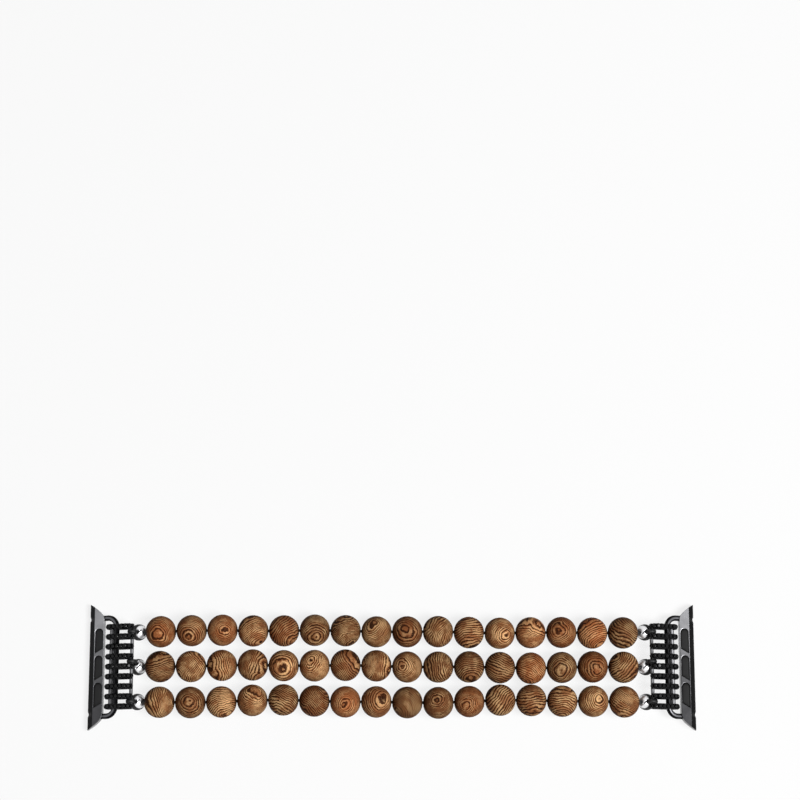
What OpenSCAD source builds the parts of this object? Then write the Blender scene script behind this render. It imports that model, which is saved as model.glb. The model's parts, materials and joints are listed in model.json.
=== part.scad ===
// Beaded watch band, laid flat on a table at z = 0. Three elastic strands of wooden beads run
// along X between two link frames set with stones. Each frame swings on a wire bail, and each
// bail is fixed in a lug that slides into a watch case. Y runs across the band.
// The left end is drawn in the plane of its link frame and dips until its lug lies on the table.
// The right end is its mirror image.

/* [Beads] */
// Diameter of a wooden bead
bead_d = 8; // [6:0.5:12]
// Beads on each strand
columns = 16; // [8:1:20]
// Angle to which two neighbouring beads can bend before they touch, in degrees
bend_angle = 15; // [5:1:25]
// Gap left between two beads at that angle
bead_play = 0.02; // [0.02:0.01:0.3]
// Diameter of the bore through a bead
bore_d = 1.5; // [1.2:0.1:2.4]
// How far the bore's mouth is widened on each side
mouth_flare = 0.2; // [0.1:0.05:0.6]

/* [Strands] */
// Free space between two strands that lie side by side
strand_gap = 1.1; // [1:0.1:4]
// How far a strand wanders to each side as it lies
sway = 0.45; // [0:0.05:0.45]
// Diameter of the elastic cord
cord_d = 0.8; // [0.5:0.1:1]
// Diameter of the knot at each end of a cord
knot_d = 1.4; // [1:0.1:1.5]

/* [Knot covers] */
// Outer diameter of the round cover over a knot
cover_d = 4.3; // [4.1:0.1:5.5]
// Wall of the cover
cover_wall = 0.35; // [0.2:0.05:0.5]
// Width of the seam where the cover closes
seam_w = 0.3; // [0.15:0.05:0.5]
// Gap between a cover and the first bead
cover_gap = 0.1; // [0.05:0.05:0.5]
// Lean of the cord loop from upright, towards the watch, in degrees
loop_lean = 33; // [25:1:40]

/* [Link frames] */
// Ribs across a link frame
ribs = 9; // [5:2:9]
// Thickness of a rib
rib_t = 1.4; // [1.2:0.05:1.5]
// Wall around the two eyes of a rib
frame_wall = 0.65; // [0.5:0.05:1]
// Bridge between the two eyes
eye_bridge = 0.6; // [0.4:0.1:1.2]
// How far the bail's bar can shift along an eye
eye_travel = 1.45; // [0.6:0.05:2]
// Diameter of the two rails that join the ribs
rail_d = 0.9; // [0.8:0.05:1.1]

/* [Stones] */
// Stones along each rib
stones = 9; // [5:1:9]
// Diameter of a stone over its corners
stone_d = 1.05; // [0.8:0.05:1.05]
// Height of a stone
stone_h = 0.5; // [0.3:0.05:0.7]
// Depth of the groove in which the stones sit
seat_depth = 0.25; // [0.1:0.05:0.35]

/* [Bails] */
// Diameter of the bail's wire
wire_d = 1.45; // [1.2:0.05:2]
// Clearance between the wire and the top and bottom of an eye
wire_play = 0.33; // [0.2:0.01:0.6]
// Clearance between the bail's legs and the sides of the link frame
side_gap = 1; // [0.6:0.1:2]
// Clearance between the ribs' ends and the lug
lug_gap = 1; // [0.9:0.05:4]
// Radius of the bail's corners, at the middle of the wire
corner_r = 2.6; // [2:0.1:3]
// Depth to which a leg is set in the lug
leg_set = 1.6; // [1:0.1:2]

/* [Lugs] */
// Thickness of a lug
lug_t = 3.2; // [2.9:0.05:4]
// Depth of a lug, along the band
lug_depth = 3.85; // [3.4:0.05:5]
// How far each tip of a lug reaches past its short side
lug_tip = 2.8; // [1:0.1:4]
// Width of the slanted strip along the upper edge of a lug's nose
nose_strip = 1.3; // [0.8:0.05:1.6]
// Radius of the lower edge of a lug's nose
lug_round = 0.6; // [0.3:0.05:1]
// Metal over a leg in the lug
leg_cover = 0.375; // [0.3:0.025:0.5]
// Length of an oval grip pad
pad_l = 5.7; // [3:0.1:6]
// Width of the lug's face left on each side of a pad
pad_land = 0.25; // [0.15:0.05:0.6]
// Thickness of an oval grip pad
pad_t = 0.35; // [0.2:0.05:0.6]
// Distance between the pads' middles
pad_pitch = 7.1; // [6.6:0.1:8]
// Depth of a pad's face below the face of the lug
pad_sunk = 0.15; // [0.05:0.05:0.4]

/* [Hidden] */
$fn = 48;
// Facets of a cord, and points along its loop and along its turn in a cover
cord_sides = 8;
loop_steps = 9;
turn_steps = 5;
// Arc of the loop, to each side of its top, in degrees
loop_wrap = 110;
// Clearances: in a fixed joint, round a cord in its hole, of a cover under the rail, of the bar
// beside the bridge, and of a stone in its groove
fit_play = 0.05;
cord_play = 0.15;
rail_gap = 0.1;
bar_gap = 0.08;
groove_play = 0.06;
// A stone stands off the groove's floor by this much
stone_lift = 0.01;
// Place of a rail round the rib's nose, in degrees below the middle, and its depth in the rib
rail_angle = 50;
rail_inset = 0.35;
// Direction and length of the seam across the top of a cover
seam_angle = 40;
seam_l = 2.6;
// Solid lug past a leg's hole, and the shape of a lug's tip
leg_shoulder = 0.1;
tip_arc = 65;
tip_steps = 6;

// Strands, from the near side of the band to the far side
rows = ["front", "middle", "back"];
// Slow wave of each strand, in beads from crest to crest, and the bead where it starts
wave_beads = [8, 16, 18];
wave_start = [3, 1, 0];
// Share of the sway in the slow wave and in the quick one that follows it
slow_share = 0.7;
quick_share = 0.3;
quick_beads = 3.7;

bead_r = bead_d / 2;
bead_pitch = bead_d / cos(bend_angle / 2) + bead_play;
strand_pitch = bead_d + strand_gap;
cover_r = cover_d / 2;
cord_r = cord_d / 2;
rail_r = rail_d / 2;

// The covers lie on the table, close to the last beads
last_bead_x = (columns - 1) / 2 * bead_pitch;
cover_x = last_bead_x + sqrt(pow(bead_r + cover_r + cover_gap, 2) - pow(bead_r - cover_r, 2));

// The cord's loop holds a cover just below the link frame's near rail
loop_reach = cover_r + rail_r + rail_gap;
rail_x = cover_x + loop_reach * sin(loop_lean);
rail_z = cover_r + loop_reach * cos(loop_lean);
loop_r = rail_r + cord_r + fit_play;
// In the cover, the cord comes down on one side of the middle, and its knot is on the other
leg_aside = cord_r + cord_play;
leg_end = cover_r * 0.7;
turn_end = cover_r * 0.8;
knot_aside = knot_d / 2;
knot_end = knot_d * 0.8;

// A rib has two eyes, one for the bail and one that leaves room for the cords
eye_h = wire_d + 2 * wire_play;
eye_l = wire_d + eye_travel;
rib_h = eye_h + 2 * frame_wall;
rib_l = 2 * (eye_l + frame_wall) + eye_bridge;
nose_x = (rib_l - rib_h) / 2;
rail_dx = nose_x + (rib_h / 2 - rail_inset) * cos(rail_angle);
rail_drop = (rib_h / 2 - rail_inset) * sin(rail_angle);
bar_dx = eye_bridge / 2 + bar_gap + wire_d / 2;

// The outer strands are looped between the last two ribs on each side
rib_pitch = 2 * strand_pitch / (ribs - 2);
frame_w = (ribs - 1) * rib_pitch + rib_t;
groove_w = stone_d + groove_play;
stone_run = nose_x + rib_h / 2 * PI / 2;
stone_step = 2 * stone_run / (stones - 1);

leg_y = frame_w / 2 + side_gap + wire_d / 2;
lug_dx = rib_l / 2 + lug_gap;
lug_inner = leg_y + wire_d / 2 + leg_shoulder;
lug_outer = lug_inner + lug_tip;

// Height at which the legs enter a lug that lies on the table, and the dip that takes them there
leg_up = lug_t - leg_cover - wire_d / 2;
leg_dx = rail_dx + lug_dx;
dip = asin((rail_z - leg_up) / norm([leg_dx, rail_drop])) + atan2(rail_drop, leg_dx);
pad_w = lug_depth - nose_strip - 2 * pad_land;

function two_digits(n) = n < 10 ? str("0", n) : str(n);
function bead_name(row, column) = str("bead_", rows[row], "_", two_digits(column));

// Middle of a strand across the band
function strand_y(row) = (row - (len(rows) - 1) / 2) * strand_pitch;

// A strand's wander at a bead: a slow wave with a quicker one on it
function wander(row, column) = sway * (
    slow_share * sin(360 * (column - wave_start[row]) / wave_beads[row])
    + quick_share * sin(360 * (column + row) / quick_beads));

function bead_at(row, column) = [
    (column - (columns + 1) / 2) * bead_pitch,
    strand_y(row) + wander(row, column),
    bead_r];

// Heading of a strand at a bead, in degrees from X
function heading(row, column) =
    let (a = bead_at(row, max(column - 1, 1)), b = bead_at(row, min(column + 1, columns)))
    atan2(b.y - a.y, b.x - a.x);

// Point on a strand's axis where it leaves the last bead, side -1 at the left and 1 at the right
function mouth_at(row, side) =
    let (column = side < 0 ? 1 : columns, turn = heading(row, column))
    bead_at(row, column) + side * bead_r * [cos(turn), sin(turn), 0];

function cover_at(row, side) = [side * cover_x, strand_y(row), cover_r];

// A loop round the rail lies in the gap between two ribs that is nearest to its strand
function loop_y(row) = strand_y(row) == 0 && ribs % 2 == 1 ? rib_pitch / 2 : strand_y(row);

// Point on the strand-side rail that a strand's loop goes round
function rail_at(row, side) = [side * rail_x, loop_y(row), rail_z];

function unit(v) = v / norm(v);

function reversed(list) = [for (i = [len(list) - 1 : -1 : 0]) list[i]];

// Direction of a path at one of its points
function path_way(path, i) = unit(path[min(i + 1, len(path) - 1)] - path[max(i - 1, 0)]);

// Round tube along a path, with a radius for each of its points. No stretch of the path may run
// along the seam direction.
module tube(path, radii, seam) {
    rings = len(path);
    sides = cord_sides;
    points = [for (i = [0 : rings - 1])
        let (way = path_way(path, i), u = unit(cross(seam, way)), v = cross(way, u))
        for (k = [0 : sides - 1])
            path[i] + radii[i] * (cos(360 * k / sides) * u + sin(360 * k / sides) * v)];
    walls = [for (i = [0 : rings - 2], k = [0 : sides - 1])
        let (a = i * sides + k, b = i * sides + (k + 1) % sides)
        each [[a, a + sides, b], [b, a + sides, b + sides]]];
    ends = [for (k = [1 : sides - 2]) each [
        [0, k, k + 1],
        [(rings - 1) * sides, (rings - 1) * sides + k + 1, (rings - 1) * sides + k]]];
    polyhedron(points = points, faces = concat(walls, ends));
}

// Outline with straight sides and round ends
module stadium(length, width) {
    for (side = [-1, 1]) translate([side * (length - width) / 2, 0]) circle(d = width);
    square([length - width, width], center = true);
}

// A profile drawn in X and Z, carried along Y
module across(width) rotate([90, 0, 0]) linear_extrude(height = width, center = true) children();

// The plane of the left link frame: its origin is the frame's middle, and the watch is at -X
module left_end()
    translate([-rail_x, 0, rail_z]) rotate([0, -dip, 0]) translate([-rail_dx, 0, rail_drop])
        children();

module right_end() mirror([1, 0, 0]) left_end() children();

module bead(row, column) {
    flare_z = sqrt(pow(bead_r, 2) - pow(bore_d / 2 + mouth_flare, 2));
    color("peru") translate(bead_at(row, column)) rotate([0, 90, heading(row, column)])
        difference() {
            sphere(d = bead_d);
            cylinder(d = bore_d, h = bead_d + 1, center = true);
            for (side = [0, 1]) mirror([0, 0, side]) translate([0, 0, flare_z - mouth_flare])
                cylinder(r1 = bore_d / 2, r2 = bore_d / 2 + 2 * mouth_flare, h = 2 * mouth_flare);
        }
}

// Quadratic curve from a to b that is drawn towards c
function bend_curve(a, c, b, steps) = [for (i = [0 : steps])
    let (t = i / steps) pow(1 - t, 2) * a + 2 * t * (1 - t) * c + t * t * b];

// A cord's end, from the knot in the cover, round the rail and back, to the mouth of the last bead
function cord_end(row, side) =
    let (knot = cover_at(row, side), rail = rail_at(row, side), mouth = mouth_at(row, side),
        to_rail = unit(rail - knot), to_bead = unit(mouth - knot),
        aside = -side * unit(cross([0, 1, 0], to_rail)))
    concat(
        [for (along = knot_d * [0, 1 / 4, 3 / 4, 1])
            knot + (along - knot_end) * to_rail - knot_aside * aside],
        [for (i = [0 : loop_steps - 1])
            let (turn = loop_lean - loop_wrap + 2 * loop_wrap * (1 - i / (loop_steps - 1)))
            rail + loop_r * [side * sin(turn), 0, cos(turn)]],
        bend_curve(knot + leg_end * to_rail + leg_aside * aside, knot,
            knot + turn_end * to_bead, turn_steps),
        [mouth]);

// Radius of the cord at each point of cord_end: the knot is a short swelling
end_radii = concat(
    [cord_r / 2, knot_d / 2, knot_d / 2, cord_r],
    [for (i = [1 : loop_steps + turn_steps + 2]) cord_r]);

// One strand's cord: looped and knotted at both ends, and unbroken through its beads
module cord(row) tube(
    concat(
        cord_end(row, -1),
        [for (column = [1 : columns]) bead_at(row, column)],
        reversed(cord_end(row, 1))),
    concat(end_radii, [for (column = [1 : columns]) cord_r], reversed(end_radii)),
    [0, 1, 0]);

module elastic_cords() color("black") for (row = [0 : len(rows) - 1]) cord(row);

// Points the Z axis along v, and keeps the X axis upright in the plane of X and Z
module facing(v) rotate([-asin(v.y / norm(v)), atan2(v.x, v.z), 0]) children();

// Hollow round cover, closed round the knot, with a way in for the cord and one for its loop
module knot_cover(row, side) {
    knot = cover_at(row, side);
    translate(knot) difference() {
        sphere(r = cover_r);
        sphere(r = cover_r - cover_wall);
        facing(mouth_at(row, side) - knot) cylinder(d = cord_d + 2 * cord_play, h = cover_d);
        facing(rail_at(row, side) - knot) linear_extrude(height = cover_d)
            stadium(2 * (loop_r + cord_r), cord_d + 2 * cord_play);
        rotate([0, 0, seam_angle]) translate([-seam_l / 2, -seam_w / 2, 0])
            cube([seam_l, seam_w, cover_d]);
    }
}

module knot_covers(side) color("silver") for (row = [0 : len(rows) - 1]) knot_cover(row, side);

module left_knot_covers() knot_covers(-1);
module right_knot_covers() knot_covers(1);

module rib() {
    seat_l = rib_l - 2 * seat_depth;
    seat_h = rib_h - 2 * seat_depth;
    difference() {
        across(rib_t) difference() {
            stadium(rib_l, rib_h);
            for (side = [-1, 1]) translate([side * (eye_bridge + eye_l) / 2, 0])
                stadium(eye_l, eye_h);
        }
        across(groove_w) intersection() {
            difference() {
                stadium(rib_l + 1, rib_h + 1);
                stadium(seat_l, seat_h);
            }
            translate([-rib_l, -stone_d / 2 - groove_play]) square([2 * rib_l, rib_h]);
        }
    }
}

module link_frame() {
    for (i = [0 : ribs - 1]) translate([0, (i - (ribs - 1) / 2) * rib_pitch, 0]) rib();
    for (side = [-1, 1]) translate([side * rail_dx, 0, -rail_drop]) rotate([90, 0, 0])
        cylinder(d = rail_d, h = frame_w, center = true);
}

module left_link_frame() color("dimgray") left_end() link_frame();
module right_link_frame() color("dimgray") right_end() link_frame();

// A stone's place along a rib: over the flat top, then down the round nose
module on_rib(run) {
    past = max(abs(run) - nose_x, 0) / (rib_h / 2) * 180 / PI;
    translate([sign(run) * min(abs(run), nose_x), 0, 0]) rotate([0, sign(run) * past, 0])
        translate([0, 0, rib_h / 2 - seat_depth + stone_lift]) children();
}

module link_stones()
    for (i = [0 : ribs - 1], k = [0 : stones - 1])
        translate([0, (i - (ribs - 1) / 2) * rib_pitch, 0])
            on_rib(-stone_run + k * stone_step)
                rotate([0, 0, 22.5]) cylinder(d = stone_d, h = stone_h, $fn = 8);

module left_link_stones() color("black") left_end() link_stones();
module right_link_stones() color("black") right_end() link_stones();

// Wire bent to a U: the bar runs through the ribs' eyes, and the legs are set in the lug
module bail() {
    bar_l = 2 * (leg_y - corner_r);
    leg_l = lug_dx - bar_dx - corner_r + leg_set;
    translate([-bar_dx, 0, 0]) {
        rotate([90, 0, 0]) cylinder(d = wire_d, h = bar_l, center = true);
        for (side = [0, 1]) mirror([0, side, 0]) {
            translate([-corner_r, bar_l / 2, 0])
                rotate_extrude(angle = 90) translate([corner_r, 0]) circle(d = wire_d);
            translate([-corner_r, leg_y, 0]) rotate([0, -90, 0]) cylinder(d = wire_d, h = leg_l);
        }
    }
}

module left_bail() color("gray") left_end() bail();
module right_bail() color("gray") right_end() bail();

// Half of the lug's outline from above: a short side by the strands, and a curved pointed tip
function lug_outline(side) = [for (i = [0 : tip_steps])
    let (turn = tip_arc * i / tip_steps)
    [-lug_depth * (1 - cos(turn)) / (1 - cos(tip_arc)),
     side * (lug_inner + lug_tip * sin(turn) / sin(tip_arc))]];

// Section of a lug: a level face, a slanted strip along the nose, and a round lower edge
module lug_section() {
    polygon([
        [0, 0], [0, lug_t], [nose_strip - lug_depth, lug_t], [-lug_depth, lug_t - nose_strip],
        [-lug_depth, lug_round], [lug_round - lug_depth, 0]]);
    translate([lug_round - lug_depth, lug_round]) circle(r = lug_round);
}

module lug_body() intersection() {
    linear_extrude(height = lug_t) polygon(concat(lug_outline(1), reversed(lug_outline(-1))));
    across(2 * lug_outer + 1) lug_section();
}

// Three places along the lug's face, midway between the strands' side and the nose strip
module at_pads() for (k = [-1 : 1])
    translate([(nose_strip - lug_depth) / 2, k * pad_pitch, lug_t]) rotate([0, 0, 90]) children();

// The lug lies level, while the legs enter it on the dip
module level_at_legs() rotate([0, dip, 0]) translate([0, 0, -leg_up]) children();

module lug() translate([-lug_dx, 0, 0]) {
    difference() {
        level_at_legs() difference() {
            lug_body();
            at_pads() translate([0, 0, -pad_sunk - pad_t - fit_play]) linear_extrude(height = lug_t)
                stadium(pad_l + 2 * fit_play, pad_w + 2 * fit_play);
        }
        for (side = [-1, 1]) translate([-leg_set - fit_play, side * leg_y, 0])
            rotate([0, 90, 0]) cylinder(d = wire_d + fit_play, h = leg_set + 1);
    }
    level_at_legs() at_pads() translate([0, 0, -pad_sunk - pad_t]) linear_extrude(height = pad_t)
        stadium(pad_l, pad_w);
}

module left_lug() color("darkslategray") left_end() lug();
module right_lug() color("darkslategray") right_end() lug();

for (row = [0 : len(rows) - 1], column = [1 : columns])
    bead(row, column);
elastic_cords();
left_knot_covers();
right_knot_covers();
left_link_frame();
right_link_frame();
left_link_stones();
right_link_stones();
left_bail();
right_bail();
left_lug();
right_lug();
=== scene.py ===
"""Looks of a beaded watch band, laid flat on a white table, built around its packed CAD frame."""

import json
import math

import bmesh
import bpy
import numpy as np
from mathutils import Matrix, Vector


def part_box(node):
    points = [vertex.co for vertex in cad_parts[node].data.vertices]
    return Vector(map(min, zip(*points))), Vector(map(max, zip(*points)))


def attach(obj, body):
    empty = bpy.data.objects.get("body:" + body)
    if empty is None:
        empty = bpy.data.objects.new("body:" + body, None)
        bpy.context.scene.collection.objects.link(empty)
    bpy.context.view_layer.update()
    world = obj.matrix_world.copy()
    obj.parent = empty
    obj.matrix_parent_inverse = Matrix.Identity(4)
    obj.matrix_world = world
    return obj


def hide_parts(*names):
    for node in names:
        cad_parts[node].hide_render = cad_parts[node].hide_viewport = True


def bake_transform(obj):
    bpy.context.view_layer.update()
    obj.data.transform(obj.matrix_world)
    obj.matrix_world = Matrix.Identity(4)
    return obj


bl_info = {
    "name": "Beaded watch band",
    "version": (1, 0, 0),
    "blender": (4, 5, 0),
    "location": "View3D > Sidebar > Band",
    "description": "Wooden beads, cords, knot covers, link frames, bails and lugs of a watch band",
    "category": "Add Mesh",
}

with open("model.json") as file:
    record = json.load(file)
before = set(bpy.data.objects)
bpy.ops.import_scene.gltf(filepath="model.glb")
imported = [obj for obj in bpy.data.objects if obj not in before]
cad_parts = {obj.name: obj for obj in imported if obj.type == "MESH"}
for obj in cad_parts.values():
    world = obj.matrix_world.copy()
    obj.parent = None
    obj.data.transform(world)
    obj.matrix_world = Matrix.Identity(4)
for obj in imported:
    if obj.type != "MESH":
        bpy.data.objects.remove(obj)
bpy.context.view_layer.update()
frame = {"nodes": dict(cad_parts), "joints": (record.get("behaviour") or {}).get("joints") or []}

SIDES = {"left": -1, "right": 1}
ROWS = ("front", "middle", "back")
COLUMNS = sum(name.startswith("bead_front_") for name in frame["nodes"])
JOINTS = {joint["name"]: joint for joint in frame["joints"]}
ALONG = np.array([1.0, 0.0, 0.0])
ACROSS = np.array([0.0, 1.0, 0.0])
UP = np.array([0.0, 0.0, 1.0])
FULL_TURN = 2 * math.pi
QUARTER_TURN = math.pi / 2
MM = 0.001
SAME_POINT = 1e-7
PAD_STEPS = (-1, 0, 1)


def corners(node):
    """Lowest and highest corner of a CAD node, in metres."""
    low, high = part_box(node)
    return np.array(low), np.array(high)


def joint_place(name):
    """Place of a joint's axis, in metres."""
    return np.array(JOINTS[name]["pos_m"])


BEADS = np.array([
    [np.mean(corners(f"bead_{row}_{column:02d}"), axis=0) for column in range(1, COLUMNS + 1)]
    for row in ROWS])
BEAD_D = np.ptp(corners(f"bead_{ROWS[0]}_01"), axis=0)[2]
COVER_BOX = corners("right_knot_covers")
COVER_R = np.ptp(COVER_BOX, axis=0)[2] / 2
LUG_BOX = corners("right_lug")
LUG_DEPTH, _, LUG_T = np.ptp(LUG_BOX, axis=0)


def length(name, description, default):
    """A length in metres, as a property."""
    return bpy.props.FloatProperty(
        name=name, description=description, default=default, min=0.0, precision=5, unit="LENGTH")


def angle(name, description, degrees):
    """An angle, as a property."""
    return bpy.props.FloatProperty(
        name=name, description=description, default=math.radians(degrees), subtype="ANGLE")


def ink(name, description, red, green, blue):
    """A colour as a property, from the 0 to 255 values that a screen shows for it."""
    return bpy.props.FloatVectorProperty(
        name=name, description=description, default=[linear(c) for c in (red, green, blue)],
        size=3, min=0.0, max=1.0, subtype="COLOR")


def linear(shown):
    """Light of a screen value from 0 to 255, by the sRGB curve."""
    share = shown / 255
    return share / 12.92 if share <= 0.04045 else ((share + 0.055) / 1.055) ** 2.4


class BandBeadSizes(bpy.types.PropertyGroup):
    """Sizes of the wooden beads."""
    bead_d: length("Bead diameter", "Diameter of a wooden bead", BEAD_D)
    bore_d: length("Bore", "Diameter of the bore through a bead", 1.5 * MM)
    mouth_flare: length("Mouth flare", "Radius of the bore's rounded mouth", 0.07 * MM)
    belly: bpy.props.FloatProperty(
        name="Belly", description="Width of a turned bead over its length", default=1.028,
        min=0.9, max=1.1)
    size_spread: bpy.props.FloatProperty(
        name="Size spread", description="Share by which a bead's width may differ",
        default=0.008, min=0.0, max=0.03)
    layer_gap: length("Layer gap", "Distance between two dark layers of the wood", 0.58 * MM)
    share_up: bpy.props.FloatProperty(
        name="Share facing up", description="Share of beads whose layers show as rings from above",
        default=0.45, min=0.0, max=1.0)
    seed: bpy.props.IntProperty(
        name="Seed", description="Choice of how each bead is cut from the wood", default=11)
    # Reach of the darkening round the bore: grime and painted shade where the beads meet.
    mouth_dirt_and_shade: length("Mouth dirt", "How far the dirt reaches from the bore", 1.9 * MM)
    # Painted shade on a bead's sides, and the angles from the top where it begins and is full.
    side_painted_shade: bpy.props.FloatProperty(
        name="Side dirt", description="Share of dirt on a bead's sides", default=0.3,
        min=0.0, max=1.0)
    side_shade_start: angle("Dirt start", "From a bead's top to where the dirt on its sides begins", 36)
    side_shade_full: angle("Dirt full", "From a bead's top to where the dirt on its sides is full", 80)


class BandCordSizes(bpy.types.PropertyGroup):
    """Sizes of the elastic cords and the covers over their knots."""
    cord_d: length("Cord diameter", "Diameter of the elastic cord", 0.8 * MM)
    knot_d: length("Knot diameter", "Diameter of the knot in a cover", 1.4 * MM)
    hole_play: length("Hole play", "Clearance round the cord in its hole", 0.03 * MM)
    rail_play: length("Rail play", "Clearance between the cord's loop and the rail", 0.05 * MM)
    loop_wide: bpy.props.FloatProperty(
        name="Loop width", description="Width of the cord round the rail over its thickness",
        default=1.35, min=1.0, max=1.45)
    loop_arc: angle("Loop arc", "How far the cord goes round the rail to each side", 110)
    seam_w: length("Seam width", "Width of the seam where a cover closes", 0.26 * MM)
    seam_depth: length("Seam depth", "Depth of that seam", 0.16 * MM)
    seam_turn: angle("Seam turn", "Direction of the seam over a cover, from X", 40)
    seam_lean: angle("Seam lean", "Lean of the seam's middle from a cover's top to the bead", 9)
    seam_reach: angle("Seam reach", "How far the seam runs from its middle", 28)
    hole_depth: length("Hole depth", "Depth of a cover's holes", 0.6 * MM)


class BandEndSizes(bpy.types.PropertyGroup):
    """Sizes of the link frames, their stones and the bails."""
    ribs: bpy.props.IntProperty(name="Ribs", description="Ribs across a link frame", default=9)
    rib_t: length("Rib thickness", "Thickness of a rib", 1.4 * MM)
    rib_pitch: length("Rib pitch", "Distance between two ribs", 2.6 * MM)
    wall: length("Wall", "Wall around the two eyes of a rib", 0.65 * MM)
    bridge: length("Bridge", "Bridge between the two eyes", 0.6 * MM)
    eye_h: length("Eye height", "Height of an eye", 2.11 * MM)
    eye_l: length("Eye length", "Length of an eye", 2.9 * MM)
    rail_d: length("Rail diameter", "Diameter of the rails that join the ribs", 0.95 * MM)
    rail_inset: length("Rail inset", "Depth of a rail's middle in the rib's nose", 0.35 * MM)
    rail_turn: angle("Rail turn", "Place of a rail round the rib's nose, below the middle", 50)
    stones: bpy.props.IntProperty(name="Stones", description="Stones along a rib", default=9)
    stone_d: length("Stone diameter", "Diameter of a stone over its corners", 1.05 * MM)
    stone_h: length("Stone height", "Height of a stone", 0.5 * MM)
    seat: length("Seat", "Depth of the groove in which the stones sit", 0.25 * MM)
    wire_d: length("Wire diameter", "Diameter of the bail's wire", 1.45 * MM)
    bar_gap: length("Bar gap", "Clearance between the bail's bar and the bridge", 0.08 * MM)
    side_gap: length("Side gap", "Clearance between a bail's leg and the link frame", 1 * MM)
    lug_gap: length("Lug gap", "Clearance between the ribs' ends and the lug", 1 * MM)
    leg_set: length("Leg set", "Depth to which a leg is set in the lug", 1.6 * MM)
    corner_r: length("Corner radius", "Radius of the bail's corners", 2.6 * MM)


class BandLugSizes(bpy.types.PropertyGroup):
    """Sizes of the lugs and their pads."""
    strip: length("Nose strip", "Width of the slanted strip along the nose", 1.3 * MM)
    lower_r: length("Lower radius", "Radius of the nose's lower edge", 0.6 * MM)
    edge_r: length("Edge radius", "Radius of the other long edges", 0.12 * MM)
    tip: length("Tip", "Length of a tip along the lug", 4.0 * MM)
    tip_curve: bpy.props.FloatProperty(
        name="Tip curve", description="How quickly the strands' side curves away to a tip",
        default=1.7, min=1.0, max=3.0)
    catch_y: length("Catch place", "Distance of a catch in the nose from the middle", 12.4 * MM)
    catch_w: length("Catch width", "Half the width of a catch", 0.7 * MM)
    catch_t: length("Catch depth", "Depth of a catch", 0.22 * MM)
    pad_l: length("Pad length", "Length of a grip pad", 5.9 * MM)
    pad_w: length("Pad width", "Width of a grip pad", 2.05 * MM)
    pad_pitch: length("Pad pitch", "Distance between the middles of two pads", 7.1 * MM)
    pad_sunk: length("Pad sunk", "Depth of a pad's face below the lug's face", 0.12 * MM)
    pocket: length("Pocket", "Depth of the pocket round a pad", 0.42 * MM)
    pad_slant: angle("Pad slant", "Slant of a pad's front end", 32)


class BandFinishes(bpy.types.PropertyGroup):
    """Colours of the band."""
    wood_light: ink("Light wood", "Pale streaks between the layers", 240, 190, 134)
    wood_mid: ink("Middle wood", "Most of the wood", 164, 108, 68)
    wood_dark: ink("Dark wood", "Dark layers of the wood", 36, 15, 8)
    wood_red: ink("Red wood", "Warm tint of some beads", 182, 96, 50)
    cord: ink("Cord", "Elastic cord", 9, 9, 10)
    silver: ink("Silver", "Bright plating of the knot covers", 238, 238, 240)
    # On the covers this dark film is painted shade: a rim round a painted highlight patch, and the
    # seam and holes.
    tarnish_and_shade: ink("Tarnish", "Dark film in the hollows of the plating", 22, 21, 21)
    # On the rails this lighter plating stands for a painted sheen.
    gunmetal: ink("Gunmetal", "Plating of the link frames where it is worn", 158, 158, 161)
    oxide: ink("Oxide", "Black film over the rest of the link frames", 9, 9, 10)
    stone: ink("Stone", "Black stones", 12, 12, 14)
    # On the bails this steel shows only in the painted highlight along the top.
    wire: ink("Wire", "Dark steel of the bails", 96, 96, 99)
    lug: ink("Lug", "Black finish of the lugs", 10, 10, 11)
    # The face's grey is wear and painted sheen; towards the bright end it lightens as painted sheen.
    lug_face: ink("Lug face", "Upper face of the lugs at its dull end", 70, 70, 72)
    lug_face_sheen: ink("Rubbed lug face", "Upper face of the lugs at its bright end", 160, 160, 163)
    pad: ink("Pad", "Grip pads", 28, 28, 29)


class BandStage(bpy.types.PropertyGroup):
    """Camera, lamps and table."""
    distance: length("Distance", "From the camera to the middle of the band", 0.58)
    elevation: angle("Elevation", "Of the camera above the table", 85)
    focal_px: bpy.props.FloatProperty(
        name="Focal length", description="In pixels of the picture", default=2199.0)
    picture_px: bpy.props.FloatProperty(
        name="Picture width", description="In pixels, and the same as its height", default=800.0)
    band_px: bpy.props.FloatVectorProperty(
        name="Band's place", description="Middle of the band in pixels from the top left corner",
        default=(391.9, 666.5), size=2)
    key: bpy.props.FloatProperty(
        name="Key", description="Light of the main lamp on the table: at 1, colours show as written",
        default=1.0)
    key_size: length("Key size", "Side of the main lamp", 0.5)
    key_place: bpy.props.FloatVectorProperty(
        name="Key place", description="Place of the main lamp", default=(0.6, -0.22, 1.05),
        subtype="TRANSLATION")
    fill: bpy.props.FloatProperty(
        name="Fill", description="Light of the lamp behind the camera on the table", default=0.05)
    fill_size: length("Fill size", "Side of the lamp behind the camera", 1.2)
    fill_place: bpy.props.FloatVectorProperty(
        name="Fill place", description="Place of the lamp behind the camera",
        default=(-0.1, -0.5, 1.3), subtype="TRANSLATION")
    room: bpy.props.FloatProperty(
        name="Room", description="Brightness of the room's light", default=0.03)
    clear: bpy.props.FloatProperty(
        name="Clear", description="Share of the table that shows as plain white", default=0.82,
        min=0.0, max=1.0, subtype="FACTOR")
    table: ink("Table", "Colour of the table", 236, 236, 236)
    table_w: length("Table width", "Side of the square table", 6.0)
    table_drop: length("Table drop", "Depth of the table below the band's ground", 0.16 * MM)


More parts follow.
